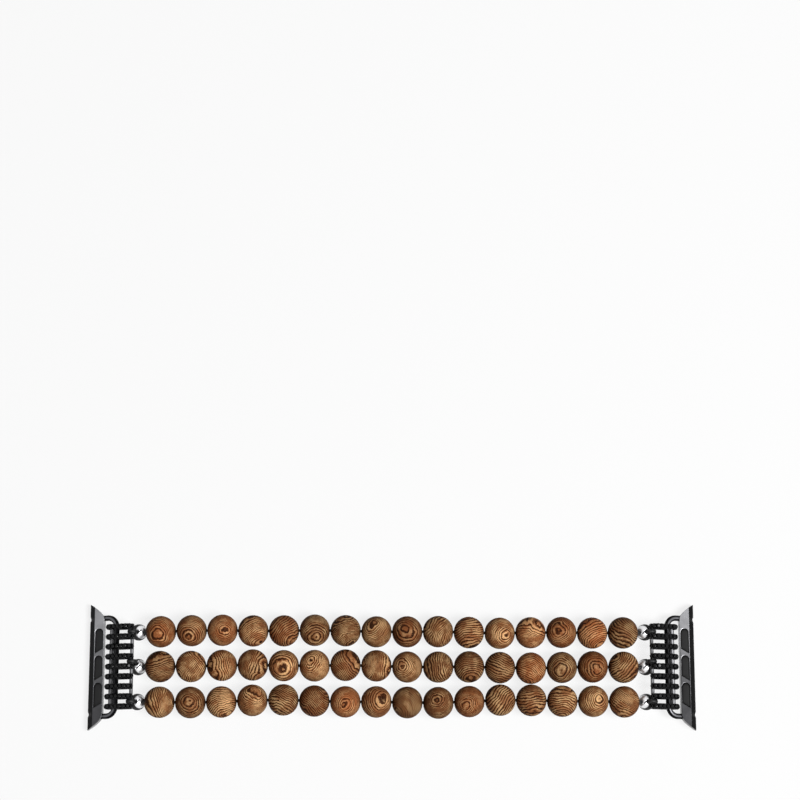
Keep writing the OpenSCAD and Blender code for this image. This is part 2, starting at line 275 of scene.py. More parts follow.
class Value:
    """A socket of a material, with arithmetic that adds the Math nodes it needs."""

    def __init__(self, finish, socket):
        self.finish = finish
        self.socket = socket

    def __add__(self, other):
        return self.finish.maths("ADD", self, other)

    def __sub__(self, other):
        return self.finish.maths("SUBTRACT", self, other)

    def __rsub__(self, other):
        return self.finish.maths("SUBTRACT", other, self)

    def __mul__(self, other):
        return self.finish.maths("MULTIPLY", self, other)

    def __truediv__(self, other):
        return self.finish.maths("DIVIDE", self, other)

    __radd__ = __add__
    __rmul__ = __mul__


class Finish:
    """A node tree that is being written: a material's, or the world's."""

    def __init__(self, owner):
        owner.use_nodes = True
        self.owner = owner
        self.tree = owner.node_tree
        self.tree.nodes.clear()

    def node(self, kind, settings=None, sockets=None, out=0):
        """Adds a node. Its settings are set first, then its sockets get values or links."""
        made = self.tree.nodes.new(kind)
        for name, value in (settings or {}).items():
            setattr(made, name, value)
        for name, value in (sockets or {}).items():
            self.feed(value, made.inputs[name])
        return Value(self, made.outputs[out]) if made.outputs else None

    def feed(self, value, socket):
        """Links a value to a socket, or sets the socket's own number or colour."""
        if isinstance(value, Value):
            self.tree.links.new(value.socket, socket)
        elif socket.type == "RGBA":
            socket.default_value = (*value, 1.0)
        else:
            socket.default_value = value

    def maths(self, operation, a, b=0.0):
        """One Math node."""
        return self.node("ShaderNodeMath", {"operation": operation}, {0: a, 1: b})

    def held(self, value, low, high):
        """A value kept between low and high."""
        return self.maths("MINIMUM", self.maths("MAXIMUM", value, low), high)

    def output(self, value, name):
        """Another output of the node that a value comes from."""
        return Value(self, value.socket.node.outputs[name])

    def part(self, vector, name):
        """The X, Y or Z of a vector."""
        return self.node("ShaderNodeSeparateXYZ", None, {0: vector}, name)

    def mix(self, a, b, share):
        """Colour between a and b."""
        return self.node("ShaderNodeMix", {"data_type": "RGBA"}, {0: share, 6: a, 7: b}, 2)

    def tint(self, colour, lightness):
        """Colour with its red, green and blue multiplied by one number."""
        grey = self.node("ShaderNodeCombineColor", None, dict.fromkeys(range(3), lightness))
        settings = {"data_type": "RGBA", "blend_type": "MULTIPLY"}
        return self.node("ShaderNodeMix", settings, {0: 1.0, 6: colour, 7: grey}, 2)

    def place(self):
        """Place on the piece, in metres."""
        return self.node("ShaderNodeTexCoord", out="Object")

    def attribute(self, name, out="Vector"):
        """What the piece's mesh marks at each point."""
        return self.node("ShaderNodeAttribute", {"attribute_name": name}, out=out)

    def stretched(self, vector, scale):
        """A vector with each of its parts multiplied."""
        return self.node("ShaderNodeVectorMath", {"operation": "MULTIPLY"}, {0: vector, 1: scale})

    def noise(self, vector, scale, detail=2.0, roughness=0.5):
        """Noise from 0 to 1, with about half in the middle."""
        sockets = {"Vector": vector, "Scale": scale, "Detail": detail, "Roughness": roughness}
        return self.node("ShaderNodeTexNoise", None, sockets)

    def rise(self, value, low, high):
        """0 below low, 1 above high, and smooth between."""
        sockets = {"Value": value, "From Min": low, "From Max": high}
        return self.node("ShaderNodeMapRange", {"interpolation_type": "SMOOTHSTEP"}, sockets)

    def bump(self, height, distance, strength):
        """Normals of a surface with small heights, of which 1 stands for the distance."""
        sockets = {"Height": height, "Distance": distance, "Strength": strength}
        return self.node("ShaderNodeBump", None, sockets)

    def surface(self, **sockets):
        """Ends a material with a Principled shader. Underscores in the names stand for spaces."""
        named = {name.replace("_", " "): value for name, value in sockets.items()}
        shader = self.node("ShaderNodeBsdfPrincipled", None, named)
        self.node("ShaderNodeOutputMaterial", None, {"Surface": shader})
        return self.owner


def new_finish(name):
    """An empty material to write."""
    return Finish(bpy.data.materials.new(name))


def wood_finish(colours):
    """Wood in thin layers, cut differently for each bead by its own grain coordinates in
    millimetres. The layers are waves of the height across them, bent by slow and quick noise:
    each has a dark line with a sharp and a soft side, and fine lines between. A mark on the
    piece darkens the bore's mouths with grime and painted shade, and the sides with painted shade."""
    slow_bend, wavy_bend, ragged_bend = 3.0, 0.66, 0.4
    lean_of_wave, fine_lines = 0.6, 3.1
    # Near-black colour for grime and painted shade.
    dirt_and_shade_colour = (0.006, 0.003, 0.002)
    f = new_finish("layered_wood")
    grain = f.attribute("grain")
    lightness = f.part(f.attribute("cut"), "X")
    redness, layer_gap = f.output(lightness, "Y"), f.output(lightness, "Z")
    slow = f.noise(grain, 0.16, 1.0)
    wavy = f.noise(f.stretched(grain, (0.5, 0.8, 0.3)), 1.0, 1.0)
    ragged = f.noise(grain, 3.2, 3.0, 0.6)
    bent = f.part(grain, "Z") + (slow - 0.5) * slow_bend + (wavy - 0.5) * wavy_bend
    turn = (bent + (ragged - 0.5) * ragged_bend) / layer_gap * FULL_TURN
    wave = f.maths("SINE", turn + f.maths("SINE", turn) * lean_of_wave)
    uneven = f.noise(f.stretched(grain, (0.3, 0.3, 1.2)), 1.0, 2.0)
    line = f.rise(wave + (uneven - 0.5) * 2.2, -0.1, 0.6)
    fine = f.rise(f.maths("SINE", turn * fine_lines + uneven * 9.0), 0.2, 1.0)
    fibre = f.noise(f.stretched(grain, (1.0, 9.0, 9.0)), 1.0, 3.0, 0.7)
    pores = f.rise(f.noise(f.stretched(grain, (1.4, 8.0, 8.0)), 1.0, 2.0), 0.58, 0.68)
    flecks = f.rise(f.noise(f.stretched(grain, (1.2, 6.0, 6.0)), 1.3, 2.0), 0.6, 0.7)
    blotch = f.rise(f.noise(grain, 0.4, 2.0), 0.35, 0.68)
    pale_share = f.rise(fibre * 0.5 + blotch * 0.35 - wave * 0.2, 0.34, 0.68)
    pale = f.mix(colours.wood_mid, colours.wood_light, pale_share)
    warm = f.mix(pale, colours.wood_red, redness * 0.5)
    depth = line * 0.84 + fine * 0.4 + pores * 0.4 - (fibre - 0.5) * 0.6 - flecks * 0.25
    layered = f.mix(warm, colours.wood_dark, f.held(depth, 0.0, 0.97))
    clean = f.tint(layered, lightness)
    relief = (1 - line) + fibre * 0.6 - pores * 0.8
    return f.surface(
        # The mark darkens the bores' mouths with grime and painted shade, and the sides with painted
        # shade.
        Base_Color=f.mix(clean, dirt_and_shade_colour, f.attribute("dirt_and_shade", "Fac") * 0.92),
        Roughness=0.5 + pores * 0.2 + fibre * 0.12, Specular_IOR_Level=0.03,
        Normal=f.bump(relief, 0.03 * MM, 0.5))


def cord_finish(colours):
    """Black elastic with a fine covering of threads that cross, from the piece's own lay
    coordinates: distance along, and the cosine and sine of the turn around."""
    thread_pitch, threads_round = 0.6 * MM, 3
    thread_colour = (0.011, 0.011, 0.012)
    f = new_finish("elastic_cord")
    distance = f.part(f.attribute("lay"), "X")
    around = f.maths("ARCTAN2", f.output(distance, "Z"), f.output(distance, "Y"))
    along = distance * (FULL_TURN / thread_pitch)
    over = f.maths("SINE", along + around * threads_round)
    under = f.maths("SINE", along - around * threads_round)
    threads = over * under
    return f.surface(
        Base_Color=f.mix(colours.cord, thread_colour, f.rise(threads, 0.2, 0.9)),
        Roughness=0.55 - threads * 0.08, Specular_IOR_Level=0.4,
        Normal=f.bump(threads, 0.03 * MM, 0.6))


def metal_finish(name, colour, tarnish_and_shade, roughness, grime=0.0, metal=1.0, film_metal=1.0):
    """Plated metal. A mark on the piece lays a dark film: oxide in its hollows, and also painted
    shade, with painted highlights where the film is thin. Grime spreads more film in clouds,
    and fine noise wears the gloss. How metallic the plating and the film are is given apart,
    since a film of grime isn't metal."""
    f = new_finish(name)
    place = f.place()
    wear = f.noise(place, 2600.0, 3.0, 0.6)
    cloud = f.noise(place, 420.0, 2.0)
    # The marked film: oxide, and on some pieces painted shade and, where it is thin, painted
    # highlights.
    film_and_painted_light = f.attribute("film_and_painted_light", "Fac")
    film = f.maths("MINIMUM", film_and_painted_light + f.rise(cloud, 0.5, 0.8) * grime, 1.0)
    metallic = metal if metal == film_metal else metal + film * (film_metal - metal)
    return f.surface(
        Base_Color=f.mix(colour, tarnish_and_shade, film), Metallic=metallic, Specular_IOR_Level=0.12,
        Roughness=roughness + (wear - 0.4) * 0.12 + film * 0.3,
        Normal=f.bump(wear, 0.004 * MM, 0.35))


def stone_finish(colours):
    """Black cut stone, which differs a little in depth of colour."""
    deepest = (0.0015, 0.0015, 0.002)
    f = new_finish("black_stone")
    cloud = f.noise(f.place(), 900.0, 1.0)
    return f.surface(
        Base_Color=f.mix(colours.stone, deepest, cloud), Roughness=0.14 + cloud * 0.1,
        IOR=1.6, Specular_IOR_Level=0.14)


def lug_finish(colours):
    """Black plating. The upper face, marked on the piece, is brushed along the lug and given a grey
    of wear and painted sheen, which as painted sheen grows brighter from one end to the other.
    The pockets, marked too, are darkened by painted shade."""
    pocket_shade_colour = (0.004, 0.004, 0.004)
    lug_reach = 17 * MM
    f = new_finish("black_metal")
    place = f.place()
    brushed = f.noise(f.stretched(place, (9000.0, 260.0, 9000.0)), 1.0, 2.0)
    cloud = f.noise(place, 300.0, 2.0)
    worn_and_sheen = f.held(f.attribute("face", "Fac") * (0.8 + (cloud - 0.5) * 0.7), 0.0, 1.0)
    # Painted sheen: the face lightens from one end of the lug to the other.
    painted_sheen = f.rise(f.part(place, "Y"), -lug_reach, lug_reach)
    face_with_sheen = f.mix(colours.lug_face, colours.lug_face_sheen, painted_sheen * painted_sheen)
    plain = f.mix(colours.lug, face_with_sheen, worn_and_sheen)
    film_and_painted_light = f.attribute("film_and_painted_light", "Fac")
    return f.surface(
        # Pockets darkened by painted shade.
        Base_Color=f.mix(plain, pocket_shade_colour, film_and_painted_light * 0.85), Metallic=0.9,
        Roughness=0.25 + (brushed - 0.5) * 0.1 + film_and_painted_light * 0.3, Specular_IOR_Level=0.1,
        Normal=f.bump(brushed, 0.004 * MM, 0.4))


def pad_finish(colours):
    """Fine-grained black rubber, with painted shade round the rim that the piece marks."""
    grit_colour, rim_shade_colour = (0.006, 0.006, 0.006), (0.0015, 0.0015, 0.0015)
    f = new_finish("grip_rubber")
    grit = f.noise(f.place(), 5000.0, 2.0)
    plain = f.mix(colours.pad, grit_colour, grit)
    return f.surface(
        Base_Color=f.mix(plain, rim_shade_colour, f.attribute("film_and_painted_light", "Fac")),
        Roughness=0.55 + (grit - 0.5) * 0.2, Specular_IOR_Level=0.15,
        Normal=f.bump(grit, 0.01 * MM, 0.5))


def lattice(rows, columns, wrap_rows=False, wrap_columns=False):
    """Quads that join each point of a grid to the next row and the next column, and round again
    where the grid wraps."""
    near = np.arange(rows if wrap_rows else rows - 1)[:, None]
    left = np.arange(columns if wrap_columns else columns - 1)[None, :]
    far, right = (near + 1) % rows, (left + 1) % columns
    return np.stack([
        near * columns + left, near * columns + right,
        far * columns + right, far * columns + left], axis=-1).reshape(-1, 4)


def joined(parts):
    """Several surfaces, each as points and faces, as one."""
    points, faces, count = [], [], 0
    for part_points, part_faces in parts:
        points.append(part_points)
        faces += [group + count for group in part_faces]
        count += len(part_points)
    return np.concatenate(points), faces


def new_piece(name, points, faces, material, marks=None, smooth=True, weld=True):
    """A mesh object at the origin. faces is a list of arrays, each with faces of one size, and
    marks holds an attribute for each point. A weld makes points in the same place one."""
    mesh = bpy.data.meshes.new(name)
    mesh.vertices.add(len(points))
    mesh.vertices.foreach_set("co", points.astype(np.float32).ravel())
    sizes = np.concatenate([np.full(len(group), group.shape[1]) for group in faces])
    mesh.loops.add(int(sizes.sum()))
    mesh.loops.foreach_set("vertex_index", np.concatenate([group.ravel() for group in faces]))
    mesh.polygons.add(len(sizes))
    mesh.polygons.foreach_set("loop_start", np.concatenate([[0], np.cumsum(sizes)[:-1]]))
    mesh.polygons.foreach_set("use_smooth", np.full(len(sizes), smooth))
    mesh.update(calc_edges=True)
    for mark, values in (marks or {}).items():
        kind, field = ("FLOAT", "value") if values.ndim == 1 else ("FLOAT_VECTOR", "vector")
        layer = mesh.attributes.new(mark, kind, "POINT")
        layer.data.foreach_set(field, values.astype(np.float32).ravel())
    if weld:
        work = bmesh.new()
        work.from_mesh(mesh)
        bmesh.ops.remove_doubles(work, verts=work.verts, dist=SAME_POINT)
        work.to_mesh(mesh)
        work.free()
    mesh.materials.append(material)
    piece = bpy.data.objects.new(name, mesh)
    bpy.context.scene.collection.objects.link(piece)
    return piece


def unit(vectors):
    """Vectors of length 1 along the given ones."""
    return vectors / np.linalg.norm(vectors, axis=-1, keepdims=True)


def smooth_step(values, low, high):
    """0 below low, 1 above high, and between them three squares less two cubes."""
    share = np.clip((values - low) / (high - low), 0, 1)
    return share * share * (3 - 2 * share)


def revolved(profile, centre, axis, spokes):
    """A closed profile of distances along and from an axis, turned round it: each point is the
    centre plus the first along the axis and the second along a spoke."""
    turn = np.linspace(0, FULL_TURN, spokes, endpoint=False)
    aside = unit(np.cross(UP, axis))
    top = np.cross(axis, aside)
    spoke = np.cos(turn)[:, None] * aside + np.sin(turn)[:, None] * top
    points = centre + profile[:, None, :1] * axis + profile[:, None, 1:] * spoke
    return points.reshape(-1, 3), lattice(len(profile), spokes, True, True)


def tube(path, radii, sides, seam=ACROSS, wide=1.0):
    """Tube along a path. Each ring is the path's point plus its radius times the cosine and the
    wide sine of an even turn along two directions square to the path. Both ends are closed by a
    ring of no radius. Returns points, faces and the lay of each point: its distance along, and
    the cosine and sine of its turn."""
    steps = np.gradient(path, axis=0)
    way = unit(steps)
    first = unit(np.cross(seam, way))
    second = np.cross(way, first)
    path, first, second = (
        np.concatenate([rows[:1], rows, rows[-1:]]) for rows in (path, first, second))
    radii = np.concatenate([[0.0], np.broadcast_to(radii, len(path) - 2), [0.0]])
    turn = np.linspace(0, FULL_TURN, sides, endpoint=False)
    cosine, sine = np.cos(turn)[None, :, None], np.sin(turn)[None, :, None]
    spoke = cosine * first[:, None] + wide * sine * second[:, None]
    points = path[:, None] + radii[:, None, None] * spoke
    along = np.concatenate([[0], np.cumsum(np.linalg.norm(np.diff(path, axis=0), axis=1))])
    grid = (len(path), sides, 1)
    lay = np.concatenate([
        np.broadcast_to(along[:, None, None], grid), np.broadcast_to(cosine, grid),
        np.broadcast_to(sine, grid)], axis=2)
    return points.reshape(-1, 3), [lattice(len(path), sides, False, True)], lay.reshape(-1, 3)


def rounded_path(points, weights, steps):
    """Curve through given points, by cubic stretches whose slope at a point is half the way
    between its neighbours. The weights, such as radii, are carried along the same way."""
    rows = np.column_stack([points, weights])
    rows = np.concatenate([2 * rows[:1] - rows[1:2], rows, 2 * rows[-1:] - rows[-2:-1]])
    share = np.linspace(0, 1, steps, endpoint=False)[None, :, None]
    before, start, end, after = (rows[i:len(rows) - 3 + i][:, None] for i in range(4))
    curve = 0.5 * (
        2 * start + (end - before) * share
        + (2 * before - 5 * start + 4 * end - after) * share ** 2
        + (3 * start - before - 3 * end + after) * share ** 3)
    curve = np.concatenate([curve.reshape(-1, rows.shape[1]), rows[-2:-1]])
    return curve[:, :3], curve[:, 3]


def headings():
    """Direction of each strand at each bead."""
    steps = np.gradient(BEADS, axis=1)
    steps[..., 2] = 0
    return unit(steps)


def bead_profile(radius, bore, flare):
    """Closed outline of half a bead, as distances along and from the bore: the ball's arc, a
    quarter round into the bore at each end, and the bore's wall."""
    arc_steps, lip_steps, wall_share = 39, 5, 0.4
    start = math.asin((bore + flare) / radius)
    turn = np.linspace(start, math.pi - start, arc_steps)
    arc = radius * np.column_stack([np.cos(turn), np.sin(turn)])
    lip_turn = np.linspace(0, QUARTER_TURN, lip_steps)[1:]
    inner = radius * math.cos(start) - flare
    lip = np.column_stack([
        inner + flare * np.cos(lip_turn), bore + flare * (1 - np.sin(lip_turn))])
    wall = np.column_stack([inner * np.array([-wall_share, wall_share]), np.full(2, bore)])
    return np.concatenate([arc, lip * [-1, 1], wall, lip[::-1]])


def grain_axes(pick, share_up):
    """Three axes of the wood in a bead: along the fibres, across them, and through the layers.
    The layers face up, with a lean, in a share of the beads, and to the side in the others."""
    facing_up = pick.random() < share_up
    lean = math.radians(pick.uniform(4, 34) if facing_up else pick.uniform(60, 95))
    turn, spin = pick.uniform(0, FULL_TURN, 2)
    layers = np.array([
        math.sin(lean) * math.cos(turn), math.sin(lean) * math.sin(turn), math.cos(lean)])
    fibres = unit(np.cross(layers, [math.cos(spin), math.sin(spin), 0.3]))
    return np.stack([fibres, np.cross(layers, fibres), layers])


def grain_places(offsets, axes, bow):
    """Places in the wood, in millimetres, of points at offsets from a bead's middle. The layers
    are bowed like growth rings: the height through them drops by the bow times the square of
    the distance from their axis."""
    along, across, height = axes @ offsets.T / MM
    return np.column_stack([along, across, height - bow * (along ** 2 + across ** 2)])


def wood_cut(offsets, sizes, pick):
    """How a bead is cut from the wood, by chance: where its points lie in the wood and, at each
    of them, its lightness, its redness and the gap between its layers in millimetres."""
    axes = grain_axes(pick, sizes.share_up)
    bow = pick.uniform(0.02, 0.2)
    grain = grain_places(offsets, axes, bow) + pick.uniform(-40, 40, 3)
    cut = [
        pick.uniform(0.55, 1.08), pick.uniform(0, 1) ** 2,
        sizes.layer_gap / MM * pick.uniform(0.8, 1.3)]
    return grain, np.broadcast_to(cut, offsets.shape)


def bead_dirt_and_shade(from_bore, offsets, sizes):
    """Share of darkening at a bead's points: grime and painted shade, all of it at the bore and
    less with the distance from the bore's line, and painted shade on the sides, by the angle
    from the top."""
    bore = sizes.bore_d / 2
    # Grime and painted shade round the bore, where the beads meet.
    mouth = 1 - smooth_step(from_bore, bore, bore + sizes.mouth_dirt_and_shade)
    from_top = np.arccos(np.clip(unit(offsets)[:, 2], -1, 1))
    # Painted shade on the sides, growing away from the top.
    side = sizes.side_painted_shade * smooth_step(from_top, sizes.side_shade_start, sizes.side_shade_full)
    return np.maximum(mouth, side)


class BAND_OT_beads(bpy.types.Operator):
    """Turned wooden beads, each cut differently from layered wood"""
    bl_idname = "band.beads"
    bl_label = "Wooden beads"

    def execute(self, context):
        sizes = context.scene.band_beads
        material = wood_finish(context.scene.band_finishes)
        pick = np.random.default_rng(sizes.seed)
        bore, spokes = sizes.bore_d / 2, 60
        round_outline = bead_profile(sizes.bead_d / 2, bore, sizes.mouth_flare)
        along = headings()
        for row, row_name in enumerate(ROWS):
            for column in range(COLUMNS):
                wide = sizes.belly + sizes.size_spread * pick.uniform(-1, 1)
                from_bore = np.maximum(round_outline[:, 1] * wide, bore)
                profile = np.column_stack([round_outline[:, 0], from_bore])
                centre = BEADS[row, column]
                points, faces = revolved(profile, centre, along[row, column], spokes)
                grain, cut = wood_cut(points - centre, sizes, pick)
                dirt_and_shade = bead_dirt_and_shade(np.repeat(from_bore, spokes), points - centre, sizes)
                name = f"{row_name}_{column + 1:02d}"
                piece = new_piece(
                    f"turned_bead_{name}", points, [faces], material,
                    {"grain": grain, "cut": cut, "dirt_and_shade": dirt_and_shade}, weld=False)
                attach(piece, f"column_{column + 1:02d}")
                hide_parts(f"bead_{name}")
        return {"FINISHED"}


def cover_middle(side, row):
    """Middle of a knot cover."""
    low, high = COVER_BOX
    reach = (high[1] - low[1]) / 2 - COVER_R
    return np.array([side * (low[0] + high[0]) / 2, (row - 1) * reach, (low[2] + high[2]) / 2])


def last_column(side):
    """Index of the column of beads that is next to an end."""
    return 0 if side < 0 else COLUMNS - 1


def mouth_place(side, row):
    """Where a strand leaves its last bead."""
    column = last_column(side)
    return BEADS[row, column] + side * BEAD_D / 2 * headings()[row, column]


def rail_place(side, row, rib_pitch):
    """Where a strand's loop goes round the near rail: in the gap between ribs that is nearest."""
    rail = joint_place("right_link_swing" if side > 0 else "left_link_swing")
    aside = rib_pitch / 2 if row == 1 else cover_middle(side, row)[1]
    return np.array([rail[0], aside, rail[2]])


def cord_end(side, row, cords, ends):
    """A cord's end as points and radii: from its knot in the cover, round the rail, and back
    into the cover towards the bead, on a curve bent towards the cover's middle."""
    knot_set, rail_hole, bead_hole = 0.8 * cords.knot_d, 0.7 * COVER_R, 0.8 * COVER_R
    cord_r, knot_r = cords.cord_d / 2, cords.knot_d / 2
    middle = cover_middle(side, row)
    rail = rail_place(side, row, ends.rib_pitch)
    to_rail, to_bead = unit(rail - middle), unit(mouth_place(side, row) - middle)
    aside = -side * unit(np.cross(ACROSS, to_rail))
    knot_steps = cords.knot_d * np.array([0, 0.25, 0.75, 1])[:, None]
    knot = middle + (knot_steps - knot_set) * to_rail - knot_r * aside
    lean = math.atan2(side * (rail[0] - middle[0]), rail[2] - middle[2])
    turn = lean + cords.loop_arc * np.linspace(1, -1, 13)[:, None]
    loop_r = ends.rail_d / 2 + cord_r + cords.rail_play
    loop = rail + loop_r * (side * np.sin(turn) * ALONG + np.cos(turn) * UP)
    share = np.linspace(0, 1, 6)[:, None]
    leg = middle + rail_hole * to_rail + (cord_r + cords.hole_play) * aside
    back = (1 - share) ** 2 * leg + 2 * share * (1 - share) * middle + (
        share ** 2 * (middle + bead_hole * to_bead))
    radii = np.full(len(knot) + len(loop) + len(back), cord_r)
    radii[:3] = [cord_r / 2, knot_r, knot_r]
    return np.concatenate([knot, loop, back]), radii


def cord_run(side, row, end):
    """A cord's path from its last bead's middle, through the bead's mouth, to the place in the
    cover where its end begins."""
    start, mouth = BEADS[row, last_column(side)], mouth_place(side, row)
    in_bead = np.array([0, 0.5, 0.85])[:, None]
    in_gap = np.linspace(0, 1, 9)[:, None]
    return np.concatenate([start + in_bead * (mouth - start), mouth + in_gap * (end - mouth)])


def cord_piece(name, parts, material):
    """One piece of several cord stretches, each with its points, faces and lay."""
    points, faces = joined([part[:2] for part in parts])
    lay = np.concatenate([part[2] for part in parts])
    piece = new_piece(name, points, faces, material, {"lay": lay})
    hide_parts("elastic_cords")
    return piece


class BAND_OT_cords(bpy.types.Operator):
    """Elastic cords through the beads, looped round the rails and knotted in the covers"""
    bl_idname = "band.cords"
    bl_label = "Elastic cords"

    def execute(self, context):
        cords, ends = context.scene.band_cords, context.scene.band_ends
        material = cord_finish(context.scene.band_finishes)
        cord_r, sides, rows = cords.cord_d / 2, 14, range(len(ROWS))
        bend_start = context.scene.band_beads.bead_d / 2 * 0.95 * ALONG
        for column in range(COLUMNS - 1):
            spans = [np.linspace(*BEADS[row, column:column + 2], 17) for row in rows]
            parts = [tube(span, cord_r, sides) for span in spans]
            piece = cord_piece(f"cord_span_{column + 1:02d}", parts, material)
            start, end = BEADS[1, column] + bend_start, BEADS[1, column + 1] - bend_start
            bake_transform(piece)
        for end_name, side in SIDES.items():
            smooth = [rounded_path(*cord_end(side, row, cords, ends), 5) for row in rows]
            loops = [tube(path, radii, sides, wide=cords.loop_wide) for path, radii in smooth]
            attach(cord_piece(f"{end_name}_cord_loops", loops, material), f"{end_name}_knots")
            runs = [
                tube(cord_run(side, row, path[-1]), cord_r, sides)
                for row, (path, _) in enumerate(smooth)]
            piece = cord_piece(f"{end_name}_cord_run", runs, material)
            start, end = mouth_place(side, 1) * [1, 0, 1], smooth[1][0][-1] * [1, 0, 1]
            column = f"column_{last_column(side) + 1:02d}"
            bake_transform(piece)
        return {"FINISHED"}


def seam_axes(side, cords):
    """Three directions of a cover's seam: to its middle, along it there, and across it."""
    middle = np.array([-side * math.sin(cords.seam_lean), 0, math.cos(cords.seam_lean)])
    heading = np.array([math.cos(cords.seam_turn), math.sin(cords.seam_turn), 0])
    across = unit(np.cross(middle, heading))
    return middle, np.cross(across, middle), across


def cover_holes(way, side, row, cords, ends):
    """How far each direction from a cover's middle lies in one of its holes, from 0 to 1: the
    round one for the strand, or the long one for both legs of the loop."""
    inner_rim, outer_rim = -0.03 * MM, 0.05 * MM
    middle = cover_middle(side, row)
    hole_r = cords.cord_d / 2 + cords.hole_play
    slot = ends.rail_d / 2 + cords.cord_d + cords.rail_play - hole_r
    holes = (
        (mouth_place(side, row), 0.0, 1.0),
        (rail_place(side, row, ends.rib_pitch), slot, cords.loop_wide))
    inside = np.zeros(len(way))
    for target, half, wide in holes:
        axis = unit(target - middle)
        flat = unit(np.cross(ACROSS, axis))
        past_slot = np.maximum(np.abs(way @ flat) * COVER_R - half, 0)
        off_axis = np.hypot(past_slot, (way @ np.cross(axis, flat)) * COVER_R / wide)
        off_axis = np.where(way @ axis > 0, off_axis, COVER_R)
        hole = 1 - smooth_step(off_axis, hole_r + inner_rim, hole_r + outer_rim)
        inside = np.maximum(inside, hole)
    return inside


def cover_painted_light(way, side):
    """Share of painted shade, as a dark film, at each direction from a cover's middle. The upper
    half is bright only in a patch, a painted highlight, which from above is an ellipse a little
    nearer to the bead; round it lies a painted dark rim. The lower half is bright all over."""
    patch_x, patch_l, patch_w = 0.36, 0.66, 0.81
    towards_bead, aside, up = -side * way[:, 0], way[:, 1], way[:, 2]
    off_patch = np.hypot((towards_bead - patch_x) / patch_l, aside / patch_w)
    # Painted dark rim round the painted highlight patch on top.
    film = np.maximum(smooth_step(off_patch, 0.94, 1.02), smooth_step(-up, -0.1, 0.1))
    return 0.97 * film * (1 - smooth_step(-up, 0.0, 0.12))


def cover_surface(side, row, cords, ends):
    """Round cover: a ball whose radius drops in the seam over its top and in the two holes.
    Each point lies at a seam angle, dense near the seam, and a turn round the seam's axis.
    Returns points, faces and the painted shade of each point: in the seam, the holes and the rim."""
    seam_fade = 0.12
    middle, along, across = seam_axes(side, cords)
    spread = np.linspace(-1, 1, 61)
    bank = QUARTER_TURN * (0.35 * spread + 0.65 * spread ** 3)
    turn = np.linspace(0, FULL_TURN, 120, endpoint=False)
    level = np.cos(turn)[None, :, None] * middle + np.sin(turn)[None, :, None] * along
    way = np.sin(bank)[:, None, None] * across + np.cos(bank)[:, None, None] * level
    way = way.reshape(-1, 3)
    from_seam = np.abs(way @ across) * COVER_R
    off_middle = np.arccos(np.clip(way @ middle, -1, 1))
    in_seam = (1 - smooth_step(from_seam, 0.3 * cords.seam_w, 0.75 * cords.seam_w)) * (
        1 - smooth_step(off_middle, cords.seam_reach - seam_fade, cords.seam_reach))
    in_hole = cover_holes(way, side, row, cords, ends)
    sunk = cords.seam_depth * in_seam + cords.hole_depth * in_hole
    # Painted shade in the seam and holes, together with the painted rim and highlight.
    dark = np.clip(np.maximum(in_seam, in_hole) + cover_painted_light(way, side), 0, 1)
    points = cover_middle(side, row) + way * (COVER_R - sunk)[:, None]
    return points, [lattice(len(bank), len(turn), False, True)], dark


class BAND_OT_knot_covers(bpy.types.Operator):
    """Bright round covers, closed over the cords' knots"""
    bl_idname = "band.knot_covers"
    bl_label = "Knot covers"

    def execute(self, context):
        cords, ends = context.scene.band_cords, context.scene.band_ends
        colours = context.scene.band_finishes
        material = metal_finish(
            "bright_plating", colours.silver, colours.tarnish_and_shade, 0.26, metal=0.72, film_metal=0.0)
        for end_name, side in SIDES.items():
            for row, row_name in enumerate(ROWS):
                points, faces, dark = cover_surface(side, row, cords, ends)
                piece = new_piece(
                    f"{end_name}_knot_cover_{row_name}", points, faces, material,
                    {"film_and_painted_light": dark})
                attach(piece, f"{end_name}_knots")
                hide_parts(f"{end_name}_knot_covers")
        return {"FINISHED"}


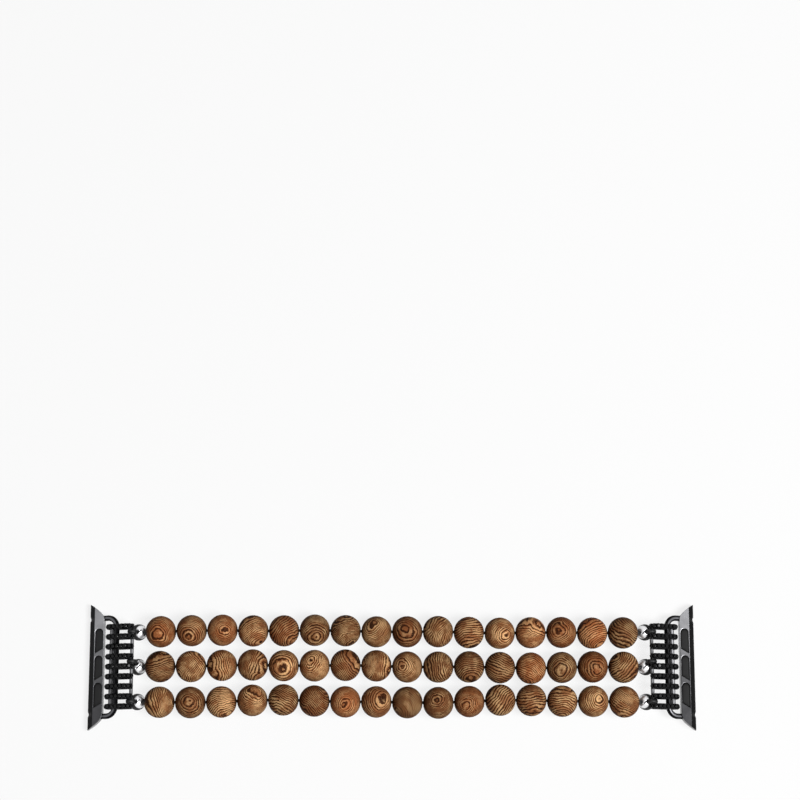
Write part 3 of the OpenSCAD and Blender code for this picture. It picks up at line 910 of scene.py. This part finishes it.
class End:
    """One end of the band, drawn in its own plane: X points from the lug to the strands, Y
    across the band and Z up from the face with the stones. The plane's origin is the middle of
    the link frame."""

    def __init__(self, name, sizes):
        self.side = SIDES[name]
        self.sizes = sizes
        self.rib_h = sizes.eye_h + 2 * sizes.wall
        self.rib_l = 2 * (sizes.eye_l + sizes.wall) + sizes.bridge
        self.nose_x = (self.rib_l - self.rib_h) / 2
        inset_r = self.rib_h / 2 - sizes.rail_inset
        self.rail_x = self.nose_x + inset_r * math.cos(sizes.rail_turn)
        self.rail_z = -inset_r * math.sin(sizes.rail_turn)
        self.bar_x = -(sizes.bridge / 2 + sizes.bar_gap + sizes.wire_d / 2)
        self.lug_x = -(self.rib_l / 2 + sizes.lug_gap)
        self.frame_w = (sizes.ribs - 1) * sizes.rib_pitch + sizes.rib_t
        self.leg_y = self.frame_w / 2 + sizes.side_gap + sizes.wire_d / 2
        self.stone_run = self.nose_x + self.rib_h / 2 * QUARTER_TURN
        self.stone_step = 2 * self.stone_run / (sizes.stones - 1)
        self.rib_ys = (np.arange(sizes.ribs) - (sizes.ribs - 1) / 2) * sizes.rib_pitch
        self.rail = joint_place(f"{name}_link_swing")
        bar = joint_place(f"{name}_lug_swing")
        drawn = math.atan2(-self.rail_z, self.bar_x - self.rail_x)
        real = math.atan2(bar[2] - self.rail[2], -abs(bar[0] - self.rail[0]))
        self.dip = real - drawn

    def place(self, points, faces):
        """Surface from the plane to the frame: turned by the dip, moved so that the rail lies on
        its joint, and mirrored with its faces turned round at the right end."""
        x, y, z = (points - [self.rail_x, 0, self.rail_z]).T
        cosine, sine = math.cos(self.dip), math.sin(self.dip)
        away = x * cosine - z * sine
        placed = np.column_stack([-self.side * away, y, x * sine + z * cosine])
        placed += [self.rail[0], 0, self.rail[2]]
        if self.side > 0:
            faces = [group[:, ::-1] for group in faces]
        return placed, faces

    def place_level(self, points, faces):
        """Surface from the lug's own plane to the frame: moved against the lug's box, and
        mirrored with its faces turned round at the right end."""
        x, y, z = points.T
        low, _ = LUG_BOX
        placed = np.column_stack([self.side * (low[0] - x), y, z + low[2]])
        if self.side > 0:
            faces = [group[:, ::-1] for group in faces]
        return placed, faces

    def spots_on_rib(self, run):
        """Places and turns on a rib's upper side at distances from its middle: over the flat
        top, then down the round nose."""
        past = np.maximum(np.abs(run) - self.nose_x, 0) / (self.rib_h / 2) * np.sign(run)
        return np.clip(run, -self.nose_x, self.nose_x), past


def half_rib_outline(end):
    """Outline of a rib's half beyond its middle, from the top's middle round the nose to the
    bottom's middle and up the middle line, as points, their outward normals, and the run from
    the middle along the upper side."""
    top_steps, low_steps, mid_steps = 44, 16, 8
    half_h = end.rib_h / 2
    run = np.linspace(0, end.stone_run, top_steps)
    flat_x, past = end.spots_on_rib(run)
    low_run = np.linspace(end.stone_run, 0, low_steps)[1:]
    low_x, low_past = end.spots_on_rib(low_run)
    turn = np.concatenate([past, math.pi - low_past])
    flat = np.concatenate([flat_x, low_x])
    normal = np.column_stack([np.sin(turn), np.cos(turn)])
    outer = np.column_stack([flat, np.zeros(len(flat))]) + half_h * normal
    line = np.linspace(-half_h, half_h, mid_steps + 2)[1:-1]
    outer = np.concatenate([outer, np.column_stack([np.zeros(mid_steps), line])])
    normal = np.concatenate([normal, np.zeros((mid_steps, 2))])
    upper = np.concatenate([run, np.full(low_steps - 1 + mid_steps, np.nan)])
    return outer, normal, upper


def eye_edge(outer, end):
    """Points of an eye's edge on the lines from its middle to the outline, with their normals.
    An eye has straight sides and round ends."""
    sizes = end.sizes
    middle = np.array([(sizes.bridge + sizes.eye_l) / 2, 0])
    radius, half = sizes.eye_h / 2, (sizes.eye_l - sizes.eye_h) / 2
    way = unit(outer - middle)
    flat_reach = radius / np.maximum(np.abs(way[:, 1]), 1e-9)
    across = np.abs(way[:, 0])
    round_reach = across * half + np.sqrt(np.maximum(radius ** 2 - (half * way[:, 1]) ** 2, 0))
    reach = np.where(flat_reach * across <= half, flat_reach, round_reach)
    offset = way * reach[:, None]
    centre = np.column_stack([np.clip(offset[:, 0], -half, half), np.zeros(len(offset))])
    return middle + offset, unit(offset - centre)


def rib_surface(end):
    """One rib, as a closed loop of points carried round each eye: over the outer edge with its
    groove and scalloped rims, across both faces and through the eye. Returns points, faces and
    how deep each point lies in the groove."""
    scallop, rim_lift, groove_fade = 0.16 * MM, 0.06 * MM, 0.2 * MM
    eye_edges = ((0.0, 0.12 * MM), (0.03 * MM, 0.03 * MM), (0.12 * MM, 0.0))
    outer_edges = ((0.16 * MM, 0.0), (0.04 * MM, 0.05 * MM))
    outer, normal, upper = half_rib_outline(end)
    eye, eye_normal = eye_edge(outer, end)
    half_t = end.sizes.rib_t / 2
    on_top = np.nan_to_num(1 - smooth_step(upper, end.stone_run - groove_fade, end.stone_run))
    phase = np.cos(FULL_TURN * np.nan_to_num(upper) / end.stone_step)
    notch = on_top * ((1 - phase) / 2) ** 3
    on_edge = np.any(normal != 0, axis=1)
    rim = half_t - scallop * notch
    groove = end.sizes.seat * on_top

    def ring(line, way, inset, y):
        """Ring of points drawn in from a line, at a distance from the rib's middle plane."""
        flat = line + way * np.broadcast_to(inset, len(line))[:, None]
        return np.column_stack([flat[:, 0], np.broadcast_to(y, len(line)), flat[:, 1]])

    rings = [ring(eye, eye_normal, inset, half_t - drop) for inset, drop in eye_edges]
    rings.append(ring(outer, -normal, 0.55 * MM * on_edge, half_t))
    rings += [
        ring(outer, -normal, inset * on_edge, np.where(on_edge, rim - drop, half_t))
        for inset, drop in outer_edges]
    crest_y = np.where(on_edge, rim - 0.13 * MM, half_t)
    wall_y = np.where(on_edge, rim - 0.19 * MM, 0.8 * half_t)
    rings += [
        ring(outer, -normal, -rim_lift * on_top * (1 - notch), crest_y),
        ring(outer, -normal, groove, wall_y), ring(outer, -normal, groove, 0.3 * half_t)]
    rings += [line * [1, -1, 1] for line in rings[::-1]]
    depth = np.zeros((len(rings), len(outer)))
    halfway = len(rings) // 2
    depth[halfway - 2:halfway + 2] = on_top
    points = np.concatenate(rings)
    faces = lattice(len(rings), len(outer), True, True)
    inside = np.all(np.abs(points[faces, 0]) < SAME_POINT, axis=1)
    faces = faces[~inside]
    both, groups = joined([(points, [faces]), (points * [-1, 1, 1], [faces[:, ::-1]])])
    return both, groups, np.tile(depth.ravel(), 2)


def prong_surface(radius):
    """Small round-topped peg: a quarter circle of heights and radii, turned round Z."""
    rise = np.linspace(0, QUARTER_TURN, 4)
    turn = np.linspace(0, FULL_TURN, 8, endpoint=False)
    level = np.concatenate([[-1.2 * radius], radius * np.sin(rise)])
    reach = np.concatenate([[radius], radius * np.cos(rise)])
    points = np.stack([
        reach[:, None] * np.cos(turn), reach[:, None] * np.sin(turn),
        np.broadcast_to(level[:, None], (len(level), len(turn)))], axis=-1)
    return points.reshape(-1, 3), lattice(len(level), len(turn), False, True)


def set_on_rib(points, faces, end, run, aside, height, tilt=None):
    """Copies of a small surface, standing on a rib at each run and side, at a height above its
    outline. The tilt leans each copy by two small angles."""
    flat_x, past = end.spots_on_rib(run)
    count = len(run)
    copies = np.broadcast_to(points, (count, *points.shape)).copy()
    if tilt is not None:
        copies[..., 2] += copies[..., 0] * tilt[:, :1] + copies[..., 1] * tilt[:, 1:]
    x, y, z = copies[..., 0], copies[..., 1] + aside[:, None], copies[..., 2] + height
    z = z + end.rib_h / 2
    cosine, sine = np.cos(past)[:, None], np.sin(past)[:, None]
    placed = np.stack([
        flat_x[:, None] + x * cosine + z * sine, y, z * cosine - x * sine], axis=-1)
    offsets = np.arange(count)[:, None, None] * len(points)
    groups = [(group[None] + offsets).reshape(-1, group.shape[1]) for group in faces]
    return placed.reshape(-1, 3), groups


def rail_surface(end, way, wide, further_out):
    """A rail, as a tube across the frame, with its ends inside the outer ribs. The way is 1 at
    the strands and -1 at the lug."""
    let_in, sides = 0.05 * MM, 20
    level = np.array([math.cos(end.dip), 0, -math.sin(end.dip)])
    middle = np.array([way * end.rail_x, 0, end.rail_z]) + way * further_out * level
    aside = np.linspace(-1, 1, 60)[:, None] * (end.frame_w / 2 - let_in)
    points, faces, _ = tube(middle + aside * ACROSS, end.sizes.rail_d / 2, sides, level, wide)
    return points, faces


def all_prongs(end):
    """Pegs between the stones, in a row on each side of each rib."""
    prong_r, rim_share, lift = 0.13 * MM, 0.36, 0.02 * MM
    prong, faces = prong_surface(prong_r)
    runs = -end.stone_run + end.stone_step * (np.arange(end.sizes.stones - 1) + 0.5)
    rims = rim_share * end.sizes.rib_t * np.array([-1, 1])
    run, rim, rib_y = (grid.ravel() for grid in np.meshgrid(runs, rims, end.rib_ys))
    return set_on_rib(prong, [faces], end, run, rim + rib_y, lift)


class BAND_OT_link_frames(bpy.types.Operator):
    """Dark frames of ribs with eyes, joined by two rails, with small prongs between the stones.
    The strands' rail is round, and the lug's is wide and flat and lies a little further out"""
    bl_idname = "band.link_frames"
    bl_label = "Link frames"

    def execute(self, context):
        sizes, colours = context.scene.band_ends, context.scene.band_finishes
        # The groove under the stones holds a little more film, as painted shade.
        rib_film, groove_film_and_shade, prong_film = 0.945, 0.995, 0.86
        # The rails hold less film, so they show lighter, as a painted sheen.
        strand_rail_film_and_sheen, lug_rail_film_and_sheen = 0.5, 0.3
        material = metal_finish("gunmetal_plating", colours.gunmetal, colours.oxide, 0.42, 0.3)
        for end_name in SIDES:
            end = End(end_name, sizes)
            rib, rib_faces, depth = rib_surface(end)
            parts = [(rib + [0, y, 0], rib_faces) for y in end.rib_ys]
            films = [rib_film + (groove_film_and_shade - rib_film) * depth] * len(parts)
            for film, part in (
                    (strand_rail_film_and_sheen, rail_surface(end, 1, 1.0, 0.0)),
                    (lug_rail_film_and_sheen, rail_surface(end, -1, 1.2, 0.16 * MM)),
                    (prong_film, all_prongs(end))):
                parts.append(part)
                films.append(np.full(len(part[0]), film))
            points, faces = end.place(*joined(parts))
            piece = new_piece(
                f"{end_name}_ribbed_frame", points, faces, material,
                {"film_and_painted_light": np.concatenate(films)})
            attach(piece, f"{end_name}_link")
            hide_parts(f"{end_name}_link_frame")
        return {"FINISHED"}


def stone_surface(diameter, height):
    """Cut stone as rings of eight points: table, upper facets, girdle and a foot. The rings of
    the table and the girdle are in step, and the facets' ring lies half a step between."""
    sides = 8
    step = FULL_TURN / sides
    turn = np.arange(sides) * step + step / 2
    radius = diameter / 2
    rings = [
        (0.56, 1.0, 0.0), (0.83, 0.82, 0.5), (1.0, 0.6, 0.0), (1.0, 0.5, 0.0), (0.6, 0.0, 0.0)]
    points = np.concatenate([
        np.column_stack([
            share * radius * np.cos(turn + shift * step),
            share * radius * np.sin(turn + shift * step),
            np.full(sides, level * height)])
        for share, level, shift in rings])
    here = np.arange(sides)
    after = (here + 1) % sides
    table, facet, girdle, lower, foot = (here + sides * ring for ring in range(len(rings)))
    next_table, next_girdle, next_lower, next_foot = (after + sides * ring for ring in (0, 2, 3, 4))
    before_facet = (here - 1) % sides + sides
    triangles = np.concatenate([
        np.column_stack([table, facet, next_table]),
        np.column_stack([facet, girdle, next_girdle])])
    quads = np.concatenate([
        np.column_stack([table, before_facet, girdle, facet]),
        np.column_stack([girdle, lower, next_lower, next_girdle]),
        np.column_stack([lower, foot, next_foot, next_lower])])
    return points, [table[None], foot[::-1][None], triangles, quads]


class BAND_OT_link_stones(bpy.types.Operator):
    """Black cut stones in the grooves of the link frames, each leaning a little its own way"""
    bl_idname = "band.link_stones"
    bl_label = "Link stones"

    def execute(self, context):
        sizes = context.scene.band_ends
        leaning, lift = 0.09, 0.01 * MM
        material = stone_finish(context.scene.band_finishes)
        pick = np.random.default_rng(context.scene.band_beads.seed + 1)
        stone, stone_faces = stone_surface(sizes.stone_d, sizes.stone_h)
        for end_name in SIDES:
            end = End(end_name, sizes)
            runs = -end.stone_run + end.stone_step * np.arange(sizes.stones)
            run, rib_y = (grid.ravel() for grid in np.meshgrid(runs, end.rib_ys))
            tilt = pick.uniform(-leaning, leaning, (len(run), 2))
            points, faces = set_on_rib(
                stone, stone_faces, end, run, rib_y, lift - sizes.seat, tilt)
            points, faces = end.place(points, faces)
            piece = new_piece(
                f"{end_name}_cut_stones", points, faces, material, smooth=False, weld=False)
            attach(piece, f"{end_name}_link")
            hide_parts(f"{end_name}_link_stones")
        return {"FINISHED"}


def bail_path(end):
    """Middle line of a bail, level on its end's plane: a leg, a quarter round, the bar, and the
    same again the other way. Returns it and how far its bar runs straight from the middle."""
    radius = end.sizes.corner_r
    turn = np.linspace(0, QUARTER_TURN, 14)
    centre_x, bar_end = end.bar_x - radius, end.leg_y - radius
    corner = np.column_stack([centre_x + radius * np.sin(turn), bar_end + radius * np.cos(turn)])
    leg_x = np.linspace(end.lug_x - end.sizes.leg_set, centre_x, 6)[:-1]
    leg = np.column_stack([leg_x, np.full(len(leg_x), end.leg_y)])
    bar_y = np.linspace(bar_end, -bar_end, 30)[1:-1]
    bar = np.column_stack([np.full(len(bar_y), end.bar_x), bar_y])
    half = np.concatenate([leg, corner])
    flat = np.concatenate([half, bar, (half * [1, -1])[::-1]])
    return np.column_stack([flat, np.zeros(len(flat))]), bar_end


class BAND_OT_bails(bpy.types.Operator):
    """Wires bent to a U, through the frames' eyes and into the lugs. A painted highlight runs
    along the top, dimmed by painted shade between the ribs"""
    bl_idname = "band.bails"
    bl_label = "Bails"

    def execute(self, context):
        sizes, colours = context.scene.band_ends, context.scene.band_finishes
        highlight_to, shade_from, frame_shade, most_film = 10, 34, 0.75, 0.98
        frame_fade = 0.8 * MM
        material = metal_finish("dark_steel", colours.wire, colours.oxide, 0.34, 0.25)
        for end_name in SIDES:
            end = End(end_name, sizes)
            path, bar_end = bail_path(end)
            points, faces, lay = tube(path, sizes.wire_d / 2, 32, UP)
            # Film by the angle from the top: a painted highlight along it, painted shade elsewhere.
            from_top = np.degrees(np.arccos(np.clip(lay[:, 2], -1, 1)))
            # More film along the bar inside the frame, as painted shade between the ribs.
            in_frame = smooth_step(bar_end - np.abs(points[:, 1]), 0, frame_fade)
            film = smooth_step(from_top, highlight_to, shade_from) + frame_shade * in_frame
            points, faces = end.place(points, faces)
            piece = new_piece(
                f"{end_name}_wire_bail", points, faces, material,
                {"film_and_painted_light": np.clip(film, 0, most_film)})
            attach(piece, f"{end_name}_lug")
            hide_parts(f"{end_name}_bail")
        return {"FINISHED"}


def lug_sections(lug, wall):
    """Sections of a lug, one for each place of its strands' side: over the face from there, down
    the slanted strip, round the nose and back below. The strands' side, drawn in at the tips,
    cuts each section off. Returns the sections and 1 where a point is on the face."""
    edge_steps, face_steps, strip_steps = 5, 38, 9
    nose_steps, low_steps, under_steps = 4, 7, 11
    strip_x = lug.strip - LUG_DEPTH
    turn = np.linspace(0, QUARTER_TURN, edge_steps)
    into, drop = lug.edge_r * (1 - np.cos(turn)), lug.edge_r * (1 - np.sin(turn))
    near = np.clip(wall[:, None] - into, -LUG_DEPTH, 0)
    start = near[:, -1:]
    face = start + (np.minimum(strip_x, start) - start) * np.linspace(0, 1, face_steps)[1:]
    strip = np.minimum(np.linspace(strip_x, -LUG_DEPTH, strip_steps + 1)[1:-1], start)
    upper = np.hstack([near, face, strip])
    top = LUG_T + np.minimum(upper - strip_x, 0)
    top[:, :edge_steps] -= drop
    low_turn = np.linspace(0, QUARTER_TURN, low_steps)
    low_x = lug.lower_r * (1 - np.cos(low_turn)) - LUG_DEPTH
    low_z = lug.lower_r * (1 - np.sin(low_turn))
    nose_x = np.full((len(wall), nose_steps), -LUG_DEPTH)
    nose_z = np.linspace(LUG_T - lug.strip, lug.lower_r, nose_steps + 1)[:-1]
    under = start + (low_x[-1] - start) * np.linspace(1, 0, under_steps + 1)[1:]
    lower_x = np.hstack([
        nose_x, np.minimum(low_x, start), np.minimum(under, start), near[:, ::-1][:, 1:]])
    lower_z = np.concatenate([nose_z, low_z, np.zeros(under_steps), drop[::-1][1:]])
    x = np.hstack([upper, lower_x])
    z = np.hstack([top, np.tile(lower_z, (len(wall), 1))])
    on_face = np.zeros(x.shape[1])
    on_face[:edge_steps + face_steps - 1] = 1
    return x, z, on_face


def pad_inside(u, v, lug, shrink=0.0):
    """How far a point lies inside a pad's outline, which has straight sides, a round back end
    and a slanted front end. u runs towards the back, and v towards the nose."""
    half_l, half_w = lug.pad_l / 2 - shrink, lug.pad_w / 2 - shrink
    sides = half_w - np.abs(v)
    back = half_w - np.hypot(u - (half_l - half_w), v)
    slant = (u + half_l) * math.cos(lug.pad_slant) + v * math.sin(lug.pad_slant)
    return np.minimum(np.minimum(sides, np.where(u > half_l - half_w, back, sides)), slant)


def lug_surface(lug):
    """A lug, level on its own plane, with X 0 at its strands' side and Z 0 below. Its sections
    are carried along Y, and its side curves away to each tip by a power of the share of the
    tip's length. Its face sinks in three pockets, and its nose in two small catches. Returns
    points, faces, the mark of the face, which carries wear and painted sheen, and how far each
    point is in a pocket, which also sets the painted shade there."""
    face_rim, pocket_rim = (-0.02 * MM, 0.06 * MM), (-0.03 * MM, 0.09 * MM)
    tip_steps, middle_steps = 25, 250
    share = np.arange(1, tip_steps + 1) / tip_steps
    tip_y = LUG_BOX[1][1] - lug.tip * (1 - share)
    drawn_in = -LUG_DEPTH * share ** lug.tip_curve
    middle_y = np.linspace(-tip_y[0], tip_y[0], middle_steps + 1)[1:-1]
    y = np.concatenate([-tip_y[::-1], middle_y, tip_y])
    wall = np.concatenate([drawn_in[::-1], np.zeros(len(middle_y)), drawn_in])
    x, z, on_face = lug_sections(lug, wall)
    strip_x = lug.strip - LUG_DEPTH
    inside = np.full(x.shape, -1.0)
    for step in PAD_STEPS:
        u = y[:, None] - step * lug.pad_pitch
        inside = np.maximum(inside, pad_inside(u, strip_x / 2 - x, lug))
    # The pocket mask also sets the painted shade in the pockets.
    pocket = smooth_step(inside, *pocket_rim) * on_face
    from_catch = np.abs(np.abs(y) - lug.catch_y)[:, None]
    catch = np.cos(np.clip(from_catch / lug.catch_w, 0, 1) * QUARTER_TURN)
    x = x + lug.catch_t * catch * smooth_step(-x, -strip_x, LUG_DEPTH)
    z = z - lug.pocket * pocket
    points = np.stack([x, np.broadcast_to(y[:, None], x.shape), z], axis=-1)
    worn_and_sheen = on_face * smooth_step(x - strip_x, *face_rim)
    faces = [lattice(len(y), x.shape[1], False, True)]
    return points.reshape(-1, 3), faces, worn_and_sheen.ravel(), pocket.ravel()


def pad_surface(lug, step):
    """A pad, on the lug's own plane: its outline, found by walking out from its middle, times a
    pill's shares from the middle of the top to the middle of the underside. The pill's heights
    are in millimetres. Returns points, faces and how near the rim each point of the top is."""
    gap, walk, walk_steps, spokes = 0.08 * MM, 0.6 * lug.pad_l, 400, 64
    turn = np.linspace(0, FULL_TURN, spokes, endpoint=False)
    reach = np.linspace(0, walk, walk_steps)[:, None]
    within = pad_inside(reach * np.cos(turn), reach * np.sin(turn), lug, gap) > 0
    edge = reach[:, 0][within.sum(axis=0) - 1]
    pill = np.array([
        [0.0, 0.0], [0.35, 0.0], [0.68, -0.01], [0.76, -0.015], [0.84, -0.02], [0.92, -0.035],
        [0.97, -0.07], [1.0, -0.15], [1.0, -0.3], [0.0, -0.3]])
    shares = pill[:, :1] * edge
    x = (lug.strip - LUG_DEPTH) / 2 - shares * np.sin(turn)
    y = step * lug.pad_pitch + shares * np.cos(turn)
    z = np.broadcast_to(LUG_T - lug.pad_sunk + pill[:, 1:] * MM, x.shape)
    points = np.stack([x, y, z], axis=-1).reshape(-1, 3)
    # The rim mark sets painted shade round the pad's edge.
    rim = np.repeat(smooth_step(pill[:, 0], 0.68, 0.92), spokes)
    return points, [lattice(len(pill), spokes, False, True)], rim


class BAND_OT_lugs(bpy.types.Operator):
    """Black lugs with curved pointed tips, and the grip pads set in them"""
    bl_idname = "band.lugs"
    bl_label = "Lugs"

    def execute(self, context):
        lug, colours = context.scene.band_lugs, context.scene.band_finishes
        material, rubber = lug_finish(colours), pad_finish(colours)
        for end_name in SIDES:
            end = End(end_name, context.scene.band_ends)
            points, faces, worn_and_sheen, pocket = lug_surface(lug)
            points, faces = end.place_level(points, faces)
            piece = new_piece(
                f"{end_name}_curved_lug", points, faces, material,
                {"face": worn_and_sheen, "film_and_painted_light": pocket})
            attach(piece, f"{end_name}_lug")
            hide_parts(f"{end_name}_lug")
            for step, place in zip(PAD_STEPS, ROWS):
                points, faces, rim = pad_surface(lug, step)
                points, faces = end.place_level(points, faces)
                pad = new_piece(
                    f"{end_name}_lug_pad_{place}", points, faces, rubber, {"film_and_painted_light": rim})
                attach(pad, f"{end_name}_lug")
        return {"FINISHED"}


def seen_rays(f):
    """The node of what a ray is, and 1 for rays of the camera, gloss and glass."""
    path = f.node("ShaderNodeLightPath", out="Is Camera Ray")
    return path, path + f.output(path, "Is Glossy Ray") + f.output(path, "Is Transmission Ray")


def table_finish(stage):
    """White table. The camera, gloss and glass see most of it as plain white through to the
    room, with the rest as a pale surface that keeps the shadow. It throws little light back on
    the band. Lamps shine through it, so that what a pose moves below it is still lit. It doesn't
    show from below."""
    f = new_finish("white_table")
    path, seen = seen_rays(f)
    below = f.node("ShaderNodeNewGeometry", out="Backfacing")
    clear = f.maths("MAXIMUM", seen * stage.clear, f.output(path, "Is Shadow Ray"))
    clear = f.held(clear, below, 1.0)
    colour = f.mix(stage.table, (0.15, 0.15, 0.15), f.output(path, "Is Diffuse Ray"))
    plain = f.node("ShaderNodeBsdfDiffuse", None, {"Color": colour})
    hole = f.node("ShaderNodeBsdfTransparent")
    shader = f.node("ShaderNodeMixShader", None, {0: clear, 1: plain, 2: hole})
    f.node("ShaderNodeOutputMaterial", None, {"Surface": shader})
    return f.owner


def light_room(stage):
    """Room: white to the camera, gloss and glass, and a soft light from above to the rest."""
    f = Finish(bpy.context.scene.world or bpy.data.worlds.new("room"))
    bpy.context.scene.world = f.owner
    _, seen = seen_rays(f)
    way = f.node("ShaderNodeTexCoord", out="Generated")
    height = f.part(way, "Z")
    soft = f.rise(height, 0.0, 0.5) * stage.room
    strength = f.maths("MAXIMUM", f.maths("MINIMUM", seen, 1.0), soft)
    room = f.node("ShaderNodeBackground", None, {"Color": (1.0, 1.0, 1.0), "Strength": strength})
    f.node("ShaderNodeOutputWorld", None, {"Surface": room})


def add_lamp(name, place, size, light):
    """Square lamp that faces the middle of the band. Its power is the light that it throws on
    the table's middle, times the squares of pi and of its distance, over the sine of its height."""
    reach = place.length
    lamp = bpy.data.lights.new(name, "AREA")
    lamp.shape = "SQUARE"
    lamp.size = size
    lamp.energy = light * (math.pi * reach) ** 2 * reach / place[2]
    holder = bpy.data.objects.new(name, lamp)
    bpy.context.scene.collection.objects.link(holder)
    holder.location = place
    holder.rotation_mode = "QUATERNION"
    holder.rotation_quaternion = holder.location.to_track_quat("Z", "Y")
    holder.visible_camera = False
    return holder


class BAND_OT_stage(bpy.types.Operator):
    """Camera, lamps, room and white table"""
    bl_idname = "band.stage"
    bl_label = "Stage"

    def execute(self, context):
        stage = context.scene.band_stage
        context.scene.view_settings.view_transform = "Standard"
        square = stage.table_w / 2 * np.array([[-1, -1, 0], [1, -1, 0], [1, 1, 0], [-1, 1, 0]])
        square = square - stage.table_drop * UP
        faces = [np.array([[0, 1, 2, 3]])]
        table = new_piece("table", square, faces, table_finish(stage), smooth=False, weld=False)
        light_room(stage)
        add_lamp("main_lamp", stage.key_place, stage.key_size, stage.key)
        add_lamp("fill_lamp", stage.fill_place, stage.fill_size, stage.fill)
        camera = bpy.data.cameras.new("camera")
        camera.sensor_width = 36
        camera.lens = stage.focal_px / stage.picture_px * camera.sensor_width
        camera.clip_start, camera.clip_end = 0.01, 20
        holder = bpy.data.objects.new("camera", camera)
        context.scene.collection.objects.link(holder)
        across_px = stage.picture_px / 2 - stage.band_px[0]
        down_px = stage.band_px[1] - stage.picture_px / 2
        holder.location = (
            across_px / stage.focal_px * stage.distance,
            -math.cos(stage.elevation) * stage.distance,
            BEADS[0, 0, 2] + math.sin(stage.elevation) * stage.distance)
        lift = math.atan2(down_px, stage.focal_px)
        holder.rotation_euler = (QUARTER_TURN - stage.elevation + lift, 0, 0)
        context.scene.camera = holder
        return {"FINISHED"}


GROUPS = {
    "band_beads": BandBeadSizes, "band_cords": BandCordSizes, "band_ends": BandEndSizes,
    "band_lugs": BandLugSizes, "band_finishes": BandFinishes, "band_stage": BandStage}
OPERATORS = (
    BAND_OT_stage, BAND_OT_beads, BAND_OT_cords, BAND_OT_knot_covers, BAND_OT_link_frames,
    BAND_OT_link_stones, BAND_OT_bails, BAND_OT_lugs)


class BAND_PT_pieces(bpy.types.Panel):
    """Lists the sizes and the pieces of the band"""
    bl_idname = "BAND_PT_pieces"
    bl_label = "Beaded watch band"
    bl_space_type = "VIEW_3D"
    bl_region_type = "UI"
    bl_category = "Band"

    def draw(self, context):
        for name, group in GROUPS.items():
            box = self.layout.box()
            box.label(text=group.__doc__)
            for size in group.__annotations__:
                box.prop(getattr(context.scene, name), size)
        for operator in OPERATORS:
            self.layout.operator(operator.bl_idname)


def register():
    """Makes the operators, the panel and the scene's groups of sizes known."""
    for cls in (*GROUPS.values(), *OPERATORS, BAND_PT_pieces):
        bpy.utils.register_class(cls)
    for name, group in GROUPS.items():
        setattr(bpy.types.Scene, name, bpy.props.PointerProperty(type=group))


def unregister():
    """Takes them away again."""
    for name in GROUPS:
        delattr(bpy.types.Scene, name)
    for cls in (BAND_PT_pieces, *OPERATORS, *GROUPS.values()):
        bpy.utils.unregister_class(cls)


def main():
    """Registers the classes and makes the pieces."""
    register()
    bpy.ops.band.stage()
    bpy.ops.band.beads()
    bpy.ops.band.cords()
    bpy.ops.band.knot_covers()
    bpy.ops.band.link_frames()
    bpy.ops.band.link_stones()
    bpy.ops.band.bails()
    bpy.ops.band.lugs()


if __name__ == "__main__":
    main()
